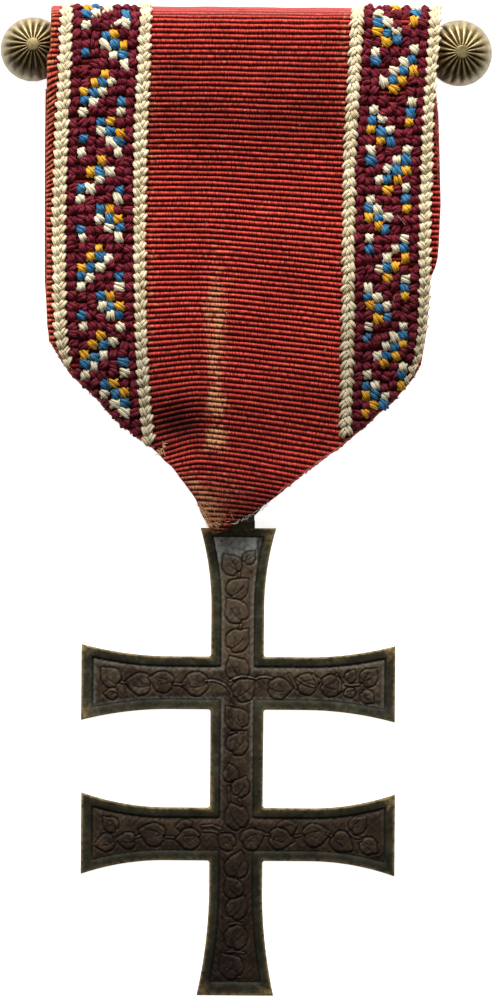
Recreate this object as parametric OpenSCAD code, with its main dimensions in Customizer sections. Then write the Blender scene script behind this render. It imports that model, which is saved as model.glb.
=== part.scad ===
/* [Cross] */
// Length of the arm above the upper crossing
top_len = 15.5; // [13:0.1:18]
// Length of the shaft below the upper crossing
foot_len = 31.2; // [29:0.1:36]
// Half length of the upper bar
upper_bar_len = 15.65; // [13:0.05:18]
// Half length of the lower bar
lower_bar_len = 15.65; // [13:0.05:18]
// Distance from the upper crossing down to the lower crossing
bar_gap = 15.15; // [14:0.05:17]
// Half width of the shaft and bars where they are straight
arm_half = 2.64; // [2.4:0.02:2.9]
// Height of the pocket floor over the back of the cross
floor_h = 1.35; // [1:0.05:1.6]
// Height of the raised rim over the pocket floor
rim_h = 0.6; // [0.4:0.05:0.6]
// Width of the rim
rim_w = 0.92; // [0.7:0.02:1.1]
// Width of the groove between the rim and the panel
groove_w = 0.12; // [0.1:0.01:0.25]
// Height of the panel's edge over the pocket floor
panel_edge_h = 0.26; // [0.1:0.02:0.3]
// Height of the panel's raised middle over the pocket floor
panel_h = 0.4; // [0.3:0.02:0.45]
// Height of the leaves over the panel
leaf_h = 0.2; // [0.1:0.02:0.3]

/* [Suspension] */
// Middle diameter of the suspension ring
ring_d = 5.2; // [5.1:0.05:5.3]
// Diameter of the ring's wire
ring_wire_d = 0.8; // [0.7:0.05:0.85]
// Tilt of the ring, whose upper side is the higher one
ring_tilt = 8.85; // [8.6:0.05:9]
// Length of the barrel lug on top of the cross
lug_len = 2.9; // [2.4:0.1:3]
// Diameter of the barrel lug
lug_d = 1.9; // [1.8:0.05:1.9]
// Clearance round the ring in the lug
ring_play = 0.12; // [0.1:0.01:0.15]

/* [Hanger] */
// Diameter of the knobs seen from the front
knob_d = 6.55; // [6.4:0.05:6.6]
// Depth of the knobs from front to back
knob_depth = 4.6; // [4.4:0.05:4.6]
// Number of ribs round a knob
knob_ribs = 20; // [16:1:24]
// Depth of the valleys between the ribs, as a share of the radius
rib_depth = 0.07; // [0.04:0.01:0.1]
// Diameter of the button in the middle of a knob
button_d = 1.3; // [1:0.1:1.6]
// Height of the hanger bar
bar_h = 7.15; // [6.5:0.05:7.2]
// Thickness of the hanger bar
bar_t = 2; // [1.6:0.1:2]
// Diameter of the brooch pin's wire
pin_d = 0.8; // [0.6:0.05:0.85]

/* [Ribbon] */
// Thickness of the cloth
cloth_t = 1; // [0.9:0.02:1]
// Thickness of the embroidered bands in their middle
band_t = 0.5; // [0.3:0.05:0.6]
// Thickness of the cream braids in their middle
braid_t = 0.6; // [0.3:0.05:0.7]
// Gap between the cloth and what is sewn on it
sewn_gap = 0.04; // [0.03:0.01:0.08]
// Height of the soft swell of the red middle field
swell_h = 0.22; // [0:0.02:0.3]
// Depth of the dent at the lower left of the middle field
dent_h = 0.45; // [0:0.05:0.5]

/* [Hidden] */
$fn = 96;

// The arms of the cross. Each row has the direction in degrees, the height of the crossing
// that it starts from, its length, the half width of its end and the length of its flare.
ARM_TURN = 0;
ARM_Y = 1;
ARM_LEN = 2;
ARM_END = 3;
ARM_FLARE = 4;
ARMS = [
    [90, 0, top_len, 3.73, 6],
    [270, 0, foot_len, 3.8, 11],
    [0, 0, upper_bar_len, 3.77, 9],
    [180, 0, upper_bar_len, 3.77, 9],
    [0, -bar_gap, lower_bar_len, 3.96, 8.5],
    [180, -bar_gap, lower_bar_len, 3.96, 8.5],
];
// The rim is a little narrower at the end of an arm
end_rim_w = 0.8;
// The raised middle of the panel starts this far inside the panel's edge
panel_step = 0.32;
// How far a raised form is sunk into what carries it
sink = 0.1;

// The linden leaves. Each row has its place, its size and the direction of its tip.
LEAF_X = 0;
LEAF_Y = 1;
LEAF_SIZE = 2;
LEAF_TURN = 3;
LEAVES = [
    [-0.7, 11.9, 2.1, 125],
    [0.95, 12.7, 1.4, 45],
    [-0.2, 9.6, 2.2, 45],
    [-0.1, 7.1, 2.5, 125],
    [-0.1, 4.3, 2.4, 50],
    [0.2, 1.7, 2.3, 120],
    [0.4, -0.7, 2.3, 60],
    [0, -3.6, 2.4, 130],
    [0, -6.2, 2.4, 70],
    [-0.6, -8.7, 2, 110],
    [0.9, -9.9, 1.4, 60],
    [0, -12.9, 2.4, 90],
    [1.7, -15.4, 2.1, 20],
    [-1.2, -15.6, 1.9, 170],
    [0.1, -18, 2.4, 80],
    [-0.1, -20.4, 1.9, 120],
    [0.1, -22.7, 2.1, 60],
    [0, -25.3, 2.4, 100],
    [-0.2, -28.2, 2.5, 120],
    [-12.6, 0.7, 2.1, 150],
    [-12.6, -1.3, 1.3, 200],
    [-9.9, -0.1, 2.4, 170],
    [-7.3, 0.1, 2.2, 15],
    [-4.3, 0, 2.4, 165],
    [4, -0.3, 2.1, 10],
    [6.7, -0.2, 2.2, 30],
    [9.3, -0.1, 2.3, 350],
    [11.3, 0.9, 1.3, 60],
    [13.1, 0.7, 1.9, 45],
    [12.8, -1.4, 1.4, 340],
    [-13.2, -16.2, 1.8, 200],
    [-12.6, -14.2, 1.7, 135],
    [-10.9, -15.7, 1.8, 170],
    [-8.2, -15.2, 2.4, 190],
    [-4.9, -15.4, 2.4, 170],
    [4.6, -15.2, 2.5, 10],
    [7.6, -15.1, 2.5, 0],
    [10.3, -15.8, 2.1, 330],
    [11.9, -14, 1.8, 60],
    [13.1, -16.3, 1.8, 320],
];

// The ring's middle, and the lug that it goes through
ring_x = -0.25;
lug_x = 0.15;
lug_y = 16.5;
lug_z = 1;
ring_drop_y = ring_d / 2 * cos(ring_tilt);
ring_drop_z = ring_d / 2 * sin(ring_tilt);
ring_y = lug_y + ring_drop_y;
ring_z = lug_z + 0.05 + ring_drop_z;

// Places on the hanger
hanger_y = 63.15;
left_knob_x = -20.87;
right_knob_x = 21.64;
knob_z = knob_depth / 2 + 0.05;
// The flat inner side of a knob, from its middle
knob_flat = 2.57;
bar_play = 0.1;
bar_left = left_knob_x + knob_flat + bar_play;
bar_right = right_knob_x - knob_flat - bar_play;
bar_z = 3.5;
bar_top = 66.75;
tenon_d = 1;
tenon_len = 1.6;
tenon_z = 3;
bore_play = 0.1;
pin_z = 0.45;
pin_inset = 0.45;
socket_depth = 0.8;
leg_play = 0.075;

// The cloth is one belt. It goes over the bar, down the front, round the tip, up through the
// ring and up the back. Each row is a line across it, at the middle of its thickness: the
// height along the cross, the height over the floor, the direction in which its outer face
// looks (90 is to the front, 180 is down the cross, 270 is to the back), and its two ends.
ROW_Y = 0;
ROW_Z = 1;
ROW_LOOKS = 2;
ROW_LEFT = 3;
ROW_RIGHT = 4;
top_fold_y = 65.7;
top_fold_z = 3.5;
top_fold_r = 1.7;
tip_fold_y = 16;
tip_fold_z = 3.2;
tip_fold_r = 0.55;

// The front of the cloth, from the top fold to the tip: height along the cross, height over
// the floor, left end and right end.
FRONT_Y = 0;
FRONT_Z = 1;
FRONT_LEFT = 2;
FRONT_RIGHT = 3;
FRONT = [
    [65.7, 5.2, -19.1, 19.9],
    [63.2, 5.2, -19.1, 19.85],
    [62.4, 5.2, -19.45, 19.75],
    [60.2, 5.2, -19.48, 19.6],
    [56.4, 4.9, -19.47, 19.35],
    [52, 4.45, -19.45, 19.28],
    [48, 4, -19.45, 19.25],
    [43, 3.5, -19.4, 19.3],
    [38.4, 3.1, -19.37, 19.08],
    [34.2, 2.85, -19, 18.85],
    [32, 2.8, -17.7, 18.4],
    [30.2, 2.78, -16.35, 17.1],
    [28, 2.8, -13.95, 14.95],
    [26, 2.84, -12, 12.75],
    [24, 2.92, -9.6, 10.4],
    [22.8, 3, -7.5, 8.9],
    [21, 3.15, -6, 6.65],
    [19.3, 3.35, -4.9, 4.7],
    [17.8, 3.6, -4.05, 2.5],
    [16.8, 3.72, -3.65, 1],
    [16, 3.75, -3.2, -0.5],
];
// The tongue and the back of the cloth, from the tip to the top fold: height along the cross,
// height over the floor, direction of the outer face, left end and right end.
BACK = [
    [16, 2.65, 270, -2.95, -0.9],
    [17.2, 2.45, 252, -2.1, 0.7],
    [18.1, 2, 242, -1.75, 1.2],
    [19.07, 1.47, 242, -1.75, 1.25],
    [20, 1.02, 247, -1.75, 1.25],
    [20.9, 0.7, 260, -1.75, 1.25],
    [21.6, 0.65, 270, -2.8, 2.4],
    [22.3, 0.65, 270, -4.6, 4.6],
    [23.4, 0.65, 270, -8, 8.9],
    [25.5, 0.65, 270, -11, 11.8],
    [28.4, 0.65, 270, -14, 15],
    [31.2, 0.65, 270, -16.8, 17.6],
    [34, 0.65, 270, -19.2, 18.9],
    [38, 0.65, 270, -19.52, 19.35],
    [42, 0.7, 270, -19.58, 19.85],
    [48.2, 0.95, 270, -19.62, 19.8],
    [54, 1.35, 270, -19.64, 19.6],
    [59.2, 1.75, 270, -19.6, 19.5],
    [59.6, 1.78, 270, -17.2, 18],
];

function front_rows() = [for (row = FRONT)
    [row[FRONT_Y], row[FRONT_Z], 90, row[FRONT_LEFT], row[FRONT_RIGHT]]
];
function tip_row(looks, left, right) = [
    tip_fold_y + tip_fold_r * cos(looks),
    tip_fold_z + tip_fold_r * sin(looks),
    looks, left, right,
];
function top_row(looks, left, right) = [
    top_fold_y + top_fold_r * cos(looks),
    top_fold_z + top_fold_r * sin(looks),
    looks, left, right,
];
TIP_FOLD = [tip_row(135, -2.95, -1.2), tip_row(180, -2.6, -1.95), tip_row(225, -2.85, -1.5)];
TOP_FOLD = [
    top_row(-90, -17.2, 18),
    top_row(-60, -17.8, 18.6),
    top_row(-30, -19, 19.8),
    top_row(0, -19.1, 19.9),
    top_row(30, -19.1, 19.9),
    top_row(60, -19.1, 19.9),
];
CLOTH = concat(TOP_FOLD, front_rows(), TIP_FOLD, BACK);
// Parts across the cloth
cloth_parts = 18;

// The middle plane of the front of the cloth, at a height along the cross
function front_z(y) = lookup(y, front_column(FRONT_Z));

// The red middle field swells softly and has a dent at its lower left
field_x = 0.6;
field_half = 8.6;
field_low = 24;
field_high = 62;
wave_len = 19;
dent_x = -5.6;
dent_y = 25.6;
dent_reach = 1.7;
function bell(t) = abs(t) < 1 ? pow(cos(90 * t), 2) : 0;
function field(x, y) =
    y < field_low || y > field_high
        ? 0
        : bell((x - field_x) / field_half)
            * bell((y - (field_low + field_high) / 2) / ((field_high - field_low) / 2))
            * swell_h * (1 + cos(360 * y / wave_len)) / 2;
function dent(x, y) = dent_h * bell((x - dent_x) / (2 * dent_reach)) * bell((y - dent_y) / dent_reach);

// The bands and braids. Each row has a height along the cross and the places of the two edges
// there. A strip runs from the top fold down to where the slanting edge of the cloth ends it.
EDGE_Y = 0;
EDGE_LEFT = 1;
EDGE_RIGHT = 2;
LEFT_OUTER = [
    [67.1, -18.05, -16.95], [60, -18.3, -17.05], [55, -18.56, -17.26],
    [46, -18.75, -17.45], [38, -18.57, -17.35], [31, -18.5, -17.3],
];
LEFT_BAND = [
    [67.1, -16.9, -10.25], [60, -17, -10.55], [55, -17.2, -10.8],
    [46, -17.4, -10.8], [38, -17.3, -10.6], [24, -17.25, -10.25],
];
LEFT_INNER = [
    [67.1, -10.2, -9.05], [60, -10.5, -9.2], [55, -10.75, -9.36],
    [46, -10.75, -9.5], [38, -10.55, -9.4], [23, -10.2, -8.7],
];
RIGHT_INNER = [
    [67.1, 10.85, 12.1], [60, 10.5, 11.8], [52.4, 10.17, 11.4],
    [44, 10.13, 11.38], [38, 10.15, 11.45], [23, 10.1, 11.5],
];
RIGHT_BAND = [
    [67.1, 12.15, 18.6], [60, 11.85, 18.4], [52.4, 11.45, 17.85],
    [44, 11.43, 17.8], [38, 11.5, 17.75], [24, 11.55, 17.6],
];
RIGHT_OUTER = [
    [67.1, 18.64, 19.8], [60, 18.45, 19.4], [52.4, 17.9, 19.1],
    [44, 17.85, 19.1], [38, 17.8, 18.9], [30, 17.65, 18.45],
];
strip_parts = 4;
// What is sewn on ends this far inside the cloth's edge
edge_margin = 0.12;
// The narrowest that a strip gets at its pointed end
point_w = 0.06;

function front_column(column) =
    [for (i = [len(FRONT) - 1:-1:0]) [FRONT[i][FRONT_Y], FRONT[i][column]]];
function cloth_end(side, y) =
    lookup(y, front_column(side < 0 ? FRONT_LEFT : FRONT_RIGHT)) - side * edge_margin;
function edge_at(edges, column, y) =
    lookup(y, [for (i = [len(edges) - 1:-1:0]) [edges[i][EDGE_Y], edges[i][column]]]);

// The height at which the cloth's slanting edge reaches a place across it, found by halving
function slant_y(x, side, low, high) =
    let (middle = (low + high) / 2)
        high - low < 0.01
            ? middle
            : side * (x - cloth_end(side, middle)) < 0
                ? slant_y(x, side, low, middle)
                : slant_y(x, side, middle, high);

// The slanting edge lies between these heights, and the strips run straight there
slant_low = 18;
slant_high = 45;
slant_middle = 30;

// The rows of a strip: height, height over the floor and direction of the cloth's face there
FACE_Y = 0;
FACE_Z = 1;
FACE_LOOKS = 2;
function fold_row(looks) = [
    top_fold_y + (top_fold_r + cloth_t / 2) * cos(looks),
    top_fold_z + (top_fold_r + cloth_t / 2) * sin(looks),
    looks,
];
function face_row(y) = [y, front_z(y) + cloth_t / 2, 90];
function strip_rows(edges, side) =
    let (
        outer_x = edge_at(edges, side < 0 ? EDGE_LEFT : EDGE_RIGHT, slant_middle),
        inner_x = edge_at(edges, side < 0 ? EDGE_RIGHT : EDGE_LEFT, slant_middle),
        outer = slant_y(outer_x, side, slant_low, slant_high),
        inner = slant_y(inner_x, side, slant_low, slant_high)
    )
        concat(
            [fold_row(30), fold_row(60)],
            [for (row = FRONT) if (row[FRONT_Y] > outer) face_row(row[FRONT_Y])],
            [face_row(outer)],
            [for (row = FRONT)
                if (row[FRONT_Y] < outer && row[FRONT_Y] > inner) face_row(row[FRONT_Y])],
            [face_row(inner)]
        );
// A point of a strip: in a row, at a share of the way across, lifted off the cloth's face
function strip_point(edges, side, row, u, lift) =
    let (
        left = edge_at(edges, EDGE_LEFT, row[FACE_Y]),
        right = edge_at(edges, EDGE_RIGHT, row[FACE_Y]),
        end = cloth_end(side, row[FACE_Y]),
        low = side < 0 ? min(max(left, end), right - point_w) : left,
        high = side > 0 ? max(min(right, end), left + point_w) : right
    )
        [
            low + (high - low) * u,
            row[FACE_Y] + lift * cos(row[FACE_LOOKS]),
            row[FACE_Z] + lift * sin(row[FACE_LOOKS]),
        ];

// Triangles of a closed skin from an upper and a lower grid of the same size, whose points are
// listed row by row, the upper grid first. A square is cut into two triangles.
function square_faces(a, b, c, d) = [[a, b, d], [b, c, d]];
function skin_faces(rows, columns) =
    let (under = rows * columns)
        concat(
            [for (i = [0:rows - 2], j = [0:columns - 2])
                let (a = i * columns + j, d = a + columns)
                    each concat(
                        square_faces(a, a + 1, d + 1, d),
                        square_faces(under + a, under + d, under + d + 1, under + a + 1)
                    )
            ],
            [for (i = [0:rows - 2])
                let (first = i * columns, last = first + columns - 1)
                    each concat(
                        square_faces(first, first + columns, under + first + columns, under + first),
                        square_faces(last, under + last, under + last + columns, last + columns)
                    )
            ]
        );
function end_faces(rows, columns) =
    let (under = rows * columns, low = (rows - 1) * columns)
        [for (j = [0:columns - 2])
            each concat(
                square_faces(j, under + j, under + j + 1, j + 1),
                square_faces(low + j, low + j + 1, under + low + j + 1, under + low + j)
            )
        ];

// Radius of the concave arc that flares an arm from its straight width to its end
function flare_r(arm) =
    let (rise = arm[ARM_END] - arm_half) (pow(arm[ARM_FLARE], 2) + pow(rise, 2)) / (2 * rise);

// Outline of one arm along +X, drawn in by an inset at its sides and by another at its end
module arm_outline(arm, inset, end_inset) {
    straight = arm[ARM_LEN] - arm[ARM_FLARE];
    reach = arm[ARM_END] + 1;
    radius = flare_r(arm);
    translate([-arm_half + inset, -arm_half + inset])
        square([straight + arm_half - inset, 2 * (arm_half - inset)]);
    difference() {
        translate([straight, -reach])
            square([arm[ARM_FLARE] - end_inset, 2 * reach]);
        for (side = [-1, 1])
            translate([straight, side * (arm_half + radius)])
                circle(r = radius + inset, $fn = 256);
    }
}

module cross_outline(inset, end_inset) {
    for (arm = ARMS)
        translate([0, arm[ARM_Y]])
            rotate(arm[ARM_TURN])
                arm_outline(arm, inset, end_inset);
}

// A round leaf with a pointed tip along +X and a notch where its stalk is
module leaf_outline(size) {
    lobe = size * 0.42;
    tip = size * 0.62;
    notch = size * 0.12;
    difference() {
        union() {
            circle(r = lobe);
            polygon([
                [tip, 0],
                [lobe * 0.5, lobe * 0.866],
                [-lobe * 0.2, 0],
                [lobe * 0.5, -lobe * 0.866],
            ]);
        }
        polygon([[-lobe - notch, notch], [-lobe + notch, 0], [-lobe - notch, -notch]]);
    }
}

module leaf(size, height) {
    vein_w = 0.12;
    vein_len = size * 0.6;
    difference() {
        linear_extrude(height + sink) leaf_outline(size);
        translate([-size * 0.45, -vein_w / 2, height + sink - vein_w / 2])
            cube([vein_len, vein_w, vein_w]);
    }
}

module cross_leaves() {
    // Neighbours differ a little in height, so that one lies over the other
    for (i = [0:len(LEAVES) - 1])
        translate([LEAVES[i][LEAF_X], LEAVES[i][LEAF_Y], floor_h + panel_h - sink])
            rotate(LEAVES[i][LEAF_TURN])
                leaf(LEAVES[i][LEAF_SIZE], leaf_h * (1 - 0.25 * (i % 2)));
}

module lug() {
    neck = 0.3;
    difference() {
        union() {
            translate([lug_x, lug_y, lug_z])
                rotate([0, 90, 0])
                    cylinder(h = lug_len, d = lug_d, center = true);
            translate([lug_x - lug_len / 2 + neck, top_len - sink, lug_z - lug_d / 2 + neck / 2])
                cube([lug_len - 2 * neck, lug_y - top_len, lug_d - neck]);
        }
        ring_shape(ring_wire_d / 2 + ring_play);
    }
}

module ring_shape(wire_r) {
    translate([ring_x, ring_y, ring_z])
        rotate([ring_tilt, 0, 0])
            rotate_extrude()
                translate([ring_d / 2, 0])
                    circle(r = wire_r);
}

module cross() {
    color([0.24, 0.2, 0.15]) {
        difference() {
            linear_extrude(floor_h + rim_h) cross_outline(0, 0);
            translate([0, 0, floor_h])
                linear_extrude(rim_h + 1) cross_outline(rim_w, end_rim_w);
        }
        translate([0, 0, floor_h - sink])
            linear_extrude(panel_edge_h + sink)
                cross_outline(rim_w + groove_w, end_rim_w + groove_w);
        translate([0, 0, floor_h - sink])
            linear_extrude(panel_h + sink)
                cross_outline(rim_w + groove_w + panel_step, end_rim_w + groove_w + panel_step);
        cross_leaves();
        lug();
    }
}

module suspension_ring() {
    color([0.3, 0.25, 0.16]) ring_shape(ring_wire_d / 2);
}

// A point of the cloth: row, share of the way across, and side of the middle plane
function cloth_point(row, u, side) =
    let (
        x = row[ROW_LEFT] * (1 - u) + row[ROW_RIGHT] * u,
        y = row[ROW_Y] + side * cloth_t / 2 * cos(row[ROW_LOOKS]),
        z = row[ROW_Z] + side * cloth_t / 2 * sin(row[ROW_LOOKS]),
        front = row[ROW_LOOKS] == 90
    )
        [x, y, front ? z + field(x, y) - dent(x, y) : z];

module ribbon() {
    rows = concat(CLOTH, [CLOTH[0]]);
    columns = cloth_parts + 1;
    around = len(CLOTH);
    points = concat(
        [for (row = CLOTH, j = [0:cloth_parts]) cloth_point(row, j / cloth_parts, 1)],
        [for (row = CLOTH, j = [0:cloth_parts]) cloth_point(row, j / cloth_parts, -1)]
    );
    // The last row is the first one again, so the belt closes on itself
    faces = [for (face = skin_faces(len(rows), columns))
        [for (corner = face)
            let (
                side = floor(corner / (len(rows) * columns)),
                place = corner - side * len(rows) * columns,
                row = floor(place / columns) % around
            )
                side * around * columns + row * columns + place % columns
        ]
    ];
    color([0.66, 0.18, 0.15]) polyhedron(points = points, faces = faces, convexity = 6);
}

// A strip sewn on the front of the cloth, thickest in its middle
module strip(edges, side, thickness) {
    rows = strip_rows(edges, side);
    columns = strip_parts + 1;
    points = concat(
        [for (row = rows, j = [0:strip_parts])
            let (crown = 0.6 + 0.4 * sin(180 * j / strip_parts))
                strip_point(edges, side, row, j / strip_parts, sewn_gap + thickness * crown)],
        [for (row = rows, j = [0:strip_parts])
            strip_point(edges, side, row, j / strip_parts, sewn_gap)]
    );
    faces = concat(skin_faces(len(rows), columns), end_faces(len(rows), columns));
    polyhedron(points = points, faces = faces, convexity = 4);
}

module embroidery_left() {
    color([0.45, 0.14, 0.2]) strip(LEFT_BAND, -1, band_t);
}

module embroidery_right() {
    color([0.45, 0.14, 0.2]) strip(RIGHT_BAND, 1, band_t);
}

module braid_left_outer() {
    color([0.85, 0.8, 0.66]) strip(LEFT_OUTER, -1, braid_t);
}

module braid_left_inner() {
    color([0.85, 0.8, 0.66]) strip(LEFT_INNER, -1, braid_t);
}

module braid_right_inner() {
    color([0.85, 0.8, 0.66]) strip(RIGHT_INNER, 1, braid_t);
}

module braid_right_outer() {
    color([0.85, 0.8, 0.66]) strip(RIGHT_OUTER, 1, braid_t);
}

module hanger_bar() {
    length = bar_right - bar_left;
    low = bar_top - bar_h + bar_t / 2;
    high = bar_top - bar_t / 2;
    color([0.55, 0.47, 0.3])
        difference() {
            union() {
                translate([bar_left, low, bar_z - bar_t / 2])
                    cube([length, high - low, bar_t]);
                for (edge = [low, high])
                    translate([bar_left, edge, bar_z])
                        rotate([0, 90, 0])
                            cylinder(h = length, d = bar_t);
                translate([bar_left - tenon_len, hanger_y, tenon_z])
                    rotate([0, 90, 0])
                        cylinder(h = length + 2 * tenon_len, d = tenon_d);
            }
            for (x = [bar_left + pin_inset, bar_right - pin_inset])
                translate([x, hanger_y, bar_z - bar_t / 2 - 1])
                    cylinder(h = 1 + socket_depth, d = pin_d + 2 * leg_play);
        }
}

// A ribbed knob: its ribs run from the button in front to the middle of its back
knob_turns = [14, 32, 50, 70, 90, 112, 134, 158];
knob_steps = 4;
// The button stands out this far and is rooted this deep in the knob
button_h = 0.1;
button_root = 0.35;
function rib(angle, lift) = 1 - rib_depth * (1 - abs(sin(knob_ribs * angle / 2))) * sin(lift);
function knob_point(lift, angle) = [
    knob_d / 2 * sin(lift) * cos(angle) * rib(angle, lift),
    knob_d / 2 * sin(lift) * sin(angle) * rib(angle, lift),
    knob_depth / 2 * cos(lift),
];

module knob_body() {
    around = knob_ribs * knob_steps;
    rings = len(knob_turns);
    points = concat(
        [for (lift = knob_turns, k = [0:around - 1]) knob_point(lift, 360 * k / around)],
        [[0, 0, knob_depth / 2], [0, 0, -knob_depth / 2]]
    );
    sides = [for (i = [0:rings - 2], k = [0:around - 1])
        let (next = (k + 1) % around)
            each [
                [i * around + k, i * around + next, (i + 1) * around + k],
                [i * around + next, (i + 1) * around + next, (i + 1) * around + k],
            ]
    ];
    front = [for (k = [0:around - 1]) [rings * around, (k + 1) % around, k]];
    back = [for (k = [0:around - 1])
        [rings * around + 1, (rings - 1) * around + k, (rings - 1) * around + (k + 1) % around]
    ];
    polyhedron(points = points, faces = concat(sides, front, back), convexity = 4);
    translate([0, 0, knob_depth / 2 - button_root]) cylinder(h = button_root + button_h, d = button_d);
}

// A knob in its place, with its face turned a little, its flat inner side and its bore
module knob(x, inward, lean) {
    color([0.6, 0.52, 0.34])
        difference() {
            translate([x, hanger_y, knob_z]) rotate(lean) knob_body();
            translate([x + inward * (knob_flat + knob_d), hanger_y, knob_z])
                cube(2 * knob_d, center = true);
            translate([x + inward * (knob_flat + 1), hanger_y, tenon_z])
                rotate([0, -inward * 90, 0])
                    cylinder(h = tenon_len + 1 + bar_play + bore_play, d = tenon_d + 2 * bore_play);
        }
}

module knob_left() {
    knob(left_knob_x, 1, [-11, 0, 0]);
}

module knob_right() {
    knob(right_knob_x, -1, [-2, 6, 0]);
}

module brooch_pin() {
    leg_top = bar_z - bar_t / 2 + socket_depth - leg_play;
    left = bar_left + pin_inset;
    right = bar_right - pin_inset;
    color([0.5, 0.46, 0.38]) {
        translate([left, hanger_y, pin_z])
            rotate([0, 90, 0])
                cylinder(h = right - left, d = pin_d);
        for (x = [left, right])
            translate([x, hanger_y, pin_z]) {
                sphere(d = pin_d);
                cylinder(h = leg_top - pin_z, d = pin_d);
            }
    }
}

cross();
suspension_ring();
ribbon();
embroidery_left();
embroidery_right();
braid_left_outer();
braid_left_inner();
braid_right_inner();
braid_right_outer();
hanger_bar();
knob_left();
knob_right();
brooch_pin();
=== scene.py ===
"""The war cross, dressed: relief on the cross, ribs in the ribbon, stitches, braids and knobs."""

import logging
import math
import random
from dataclasses import dataclass, field
from enum import Enum

import bmesh
import bpy
import numpy as np
from mathutils import Matrix, Vector


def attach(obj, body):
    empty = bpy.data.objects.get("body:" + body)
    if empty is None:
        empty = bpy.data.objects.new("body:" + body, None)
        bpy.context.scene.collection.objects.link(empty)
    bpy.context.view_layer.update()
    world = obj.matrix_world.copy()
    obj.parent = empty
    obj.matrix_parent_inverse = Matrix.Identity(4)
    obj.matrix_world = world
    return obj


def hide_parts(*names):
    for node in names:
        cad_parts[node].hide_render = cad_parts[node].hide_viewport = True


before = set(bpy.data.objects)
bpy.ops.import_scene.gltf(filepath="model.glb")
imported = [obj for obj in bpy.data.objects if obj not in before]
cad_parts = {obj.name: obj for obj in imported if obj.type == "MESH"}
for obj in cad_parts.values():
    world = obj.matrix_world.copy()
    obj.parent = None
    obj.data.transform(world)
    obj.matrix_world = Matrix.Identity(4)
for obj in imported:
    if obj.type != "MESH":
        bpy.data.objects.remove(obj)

MM = 0.001
PER_MM = 1000.0
Socket = bpy.types.NodeSocket
Value = Socket | float
Colour = tuple[float, float, float]
Tint = Socket | Colour
Pair = tuple[float, float]
Place = tuple[float, float, float]
Table = tuple[tuple[float, ...], ...]
Array = np.ndarray
Material = bpy.types.Material
Mesh = bpy.types.Mesh
Piece = bpy.types.Object
Shape = bmesh.types.BMesh
Vertex = bmesh.types.BMVert
Layer = bmesh.types.BMLayerItem
log = logging.getLogger("war_cross")


def smooth(low: float, high: float, value: Array) -> Array:
    """Rises softly from 0 at low to 1 at high."""
    share = np.clip((value - low) / (high - low), 0.0, 1.0)
    return share * share * (3 - 2 * share)


def bell(share: Array) -> Array:
    """A soft hump: 1 at 0, and 0 from 1 outwards on both sides."""
    return np.where(np.abs(share) < 1, np.cos(np.clip(share, -1, 1) * math.pi / 2) ** 2, 0.0)


def hair(distance: Array, width: float) -> Array:
    """A narrow hump of that width round distance 0, for a cut line or a ridge."""
    return np.exp(-((distance / width) ** 2))


def line_distance(x: Array, y: Array, line: Table) -> Array:
    """Distance from points to a broken line.

    Args:
        x: The points' places across.
        y: The points' places along.
        line: The line's corners.

    Returns:
        The distance of each point.
    """
    nearest = np.full(x.shape, 1e6)
    for (ax, ay), (bx, by) in zip(line, line[1:]):
        dx, dy = bx - ax, by - ay
        share = np.clip(((x - ax) * dx + (y - ay) * dy) / (dx * dx + dy * dy), 0, 1)
        nearest = np.minimum(nearest, np.hypot(x - ax - share * dx, y - ay - share * dy))
    return nearest


def seen(x: Array, y: Array, degrees: float) -> tuple[Array, Array]:
    """How far places lie ahead in a direction from the origin, and how far aside of it."""
    turn = math.radians(degrees)
    return x * math.cos(turn) + y * math.sin(turn), -x * math.sin(turn) + y * math.cos(turn)


def held(value: float) -> float:
    """A number, held between 0 and 1."""
    return min(1.0, max(0.0, value))


@dataclass(frozen=True)
class Spot:
    """A soft round spot on the cloth: its middle, its half width and half length, and its strength."""

    x: float
    y: float
    half_width: float
    half_length: float
    strength: float

    def at(self, x: Array, y: Array) -> Array:
        """How strong the spot is, by place."""
        across = bell((x - self.x) / self.half_width)
        return self.strength * across * bell((y - self.y) / self.half_length)


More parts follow.
